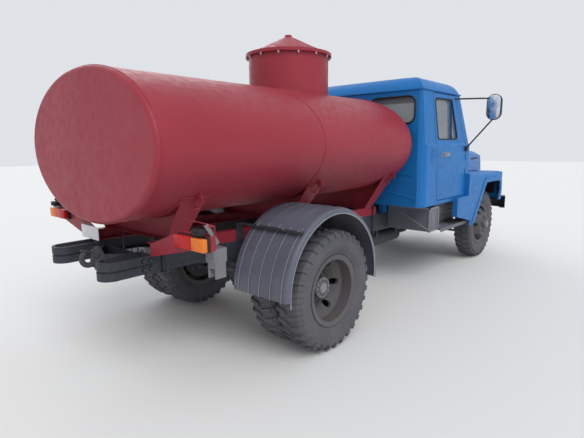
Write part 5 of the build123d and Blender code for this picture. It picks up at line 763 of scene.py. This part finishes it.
# Columns: two opposite corners of each strip
for low, high in (
        ((0.353, -0.953, 0.630), (0.371, -0.9565, 0.907)),
        ((0.583, -0.953, 0.630), (0.601, -0.9565, 0.907)),
        ((0.353, -0.953, 0.889), (0.601, -0.9565, 0.907)),
        ((0.353, -0.953, 0.630), (0.601, -0.9565, 0.648)),
        ((0.3535, -0.937, 0.630), (0.357, -0.9565, 0.907)),
        ((0.3535, -0.440, 0.889), (0.357, -0.9565, 0.907))):
    add_block(bm, low, high, 0.001)
brace_top, brace_foot = Vector((0.3555, -0.500, 0.890)), Vector((0.3555, -0.935, 0.660))
slope, middle = brace_top - brace_foot, (brace_top + brace_foot) / 2
corner = Vector((0.0015, slope.length / 2, 0.008))
add_block(bm, middle - corner, middle + corner, 0.001,
          Matrix.Rotation(math.atan2(slope.z, slope.y), 3, "X"))
shape("battery_box_strips", bm, bare, "chassis")
bm = bmesh.new()
add_rod(bm, (-0.10, 0.835, 0.780), (-0.10, 0.852, 0.806), 0.034, 28)
add_rod(bm, (-0.10, 0.851, 0.805), (-0.10, 0.862, 0.822), 0.043, 28, tip=0.040)
shape("fuel_cap", bm, black_paint, "chassis")

# Seats: foam pads under dark grained vinyl on plain sheet bases, a single seat
# for the driver and a wide one beside it.
PAD_GAP = 0.014
PAD_EASE = 0.030
SWELLING = 0.012
VOXEL = 0.012
BLOW_FRAMES = 20


def stuffed(name, bm):
    """A pad blown up softly as cloth, with its swelling held to a limit, then eased."""
    pad = shape(name, bm, vinyl, "chassis")
    remesh = pad.modifiers.new("voxels", "REMESH")
    remesh.mode = "VOXEL"
    remesh.voxel_size = VOXEL
    view = bpy.context.evaluated_depsgraph_get()
    pad.data = bpy.data.meshes.new_from_object(pad.evaluated_get(view))
    pad.modifiers.clear()
    rest = [vert.co.copy() for vert in pad.data.vertices]
    cloth = pad.modifiers.new("stuffing", "CLOTH")
    cloth.settings.use_pressure = True
    cloth.settings.uniform_pressure_force = 4
    cloth.settings.effector_weights.gravity = 0
    cloth.point_cache.frame_end = BLOW_FRAMES
    for step in range(1, BLOW_FRAMES + 1):
        bpy.context.scene.frame_set(step)
    blown = pad.evaluated_get(bpy.context.evaluated_depsgraph_get()).data
    swollen = [vert.co.copy() for vert in blown.vertices]
    pad.modifiers.clear()
    bpy.context.scene.frame_set(1)
    for vert, start, end in zip(pad.data.vertices, rest, swollen):
        move = end - start
        vert.co = start + move * min(1.0, SWELLING / max(move.length, 1e-9))
    pad.data.shade_smooth()
    ease = pad.modifiers.new("ease", "SUBSURF")
    ease.levels = ease.render_levels = 1


vinyl = paint("dark seat vinyl", (0.022, 0.020, 0.020), (0.035, 0.032, 0.031), (0.06, 0.055, 0.05),
              0.5, grain=20, low=0.9, high=1.3, bump=0.15)
bases = bmesh.new()
# Columns: seat, its middle, its width
for name, y, width in (("driver", 0.440, 0.480), ("passenger", -0.380, 0.760)):
    low, high = y - width / 2 + PAD_GAP, y + width / 2 - PAD_GAP
    add_block(bases, (0.350, low, 0.975), (0.815, high, 1.200), 0.010)
    cushion, back = bmesh.new(), bmesh.new()
    add_block(cushion, (0.435, low, 1.196), (0.850, high, 1.300), PAD_EASE)
    stuffed(f"{name}_cushion", cushion)
    add_block(back, (0.320, low, 1.285), (0.415, high, 1.800), PAD_EASE,
              Matrix.Rotation(math.radians(-9), 3, "Y"))
    stuffed(f"{name}_backrest", back)
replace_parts(shape("seat_bases", bases, plastic, "chassis"), "seats")

# Dashboard: a pressed panel with a row of round gauges in front of the wheel,
# and the gear lever with its knob between the seats.
rims, faces = bmesh.new(), bmesh.new()
towards_driver = Vector((-0.914, 0, 0.406))
for i in range(4):
    centre = Vector((1.169, 0.305 + 0.090 * i, 1.485))
    add_rod(rims, centre - towards_driver * 0.002, centre + towards_driver * 0.006, 0.037, 28)
    add_rod(faces, centre + towards_driver * 0.004, centre + towards_driver * 0.007, 0.032, 28)
add_line(faces, [(0.93, 0.06, 0.974), (0.91, 0.06, 1.25), (0.85, 0.05, 1.44)], 0.007)
knob = bmesh.ops.create_uvsphere(faces, u_segments=20, v_segments=12, radius=0.024)["verts"]
bmesh.ops.translate(faces, verts=knob, vec=(0.848, 0.050, 1.452))
shape("gauge_rims", rims, chrome, "chassis")
shape("gauge_faces_and_lever", faces, plastic, "chassis")
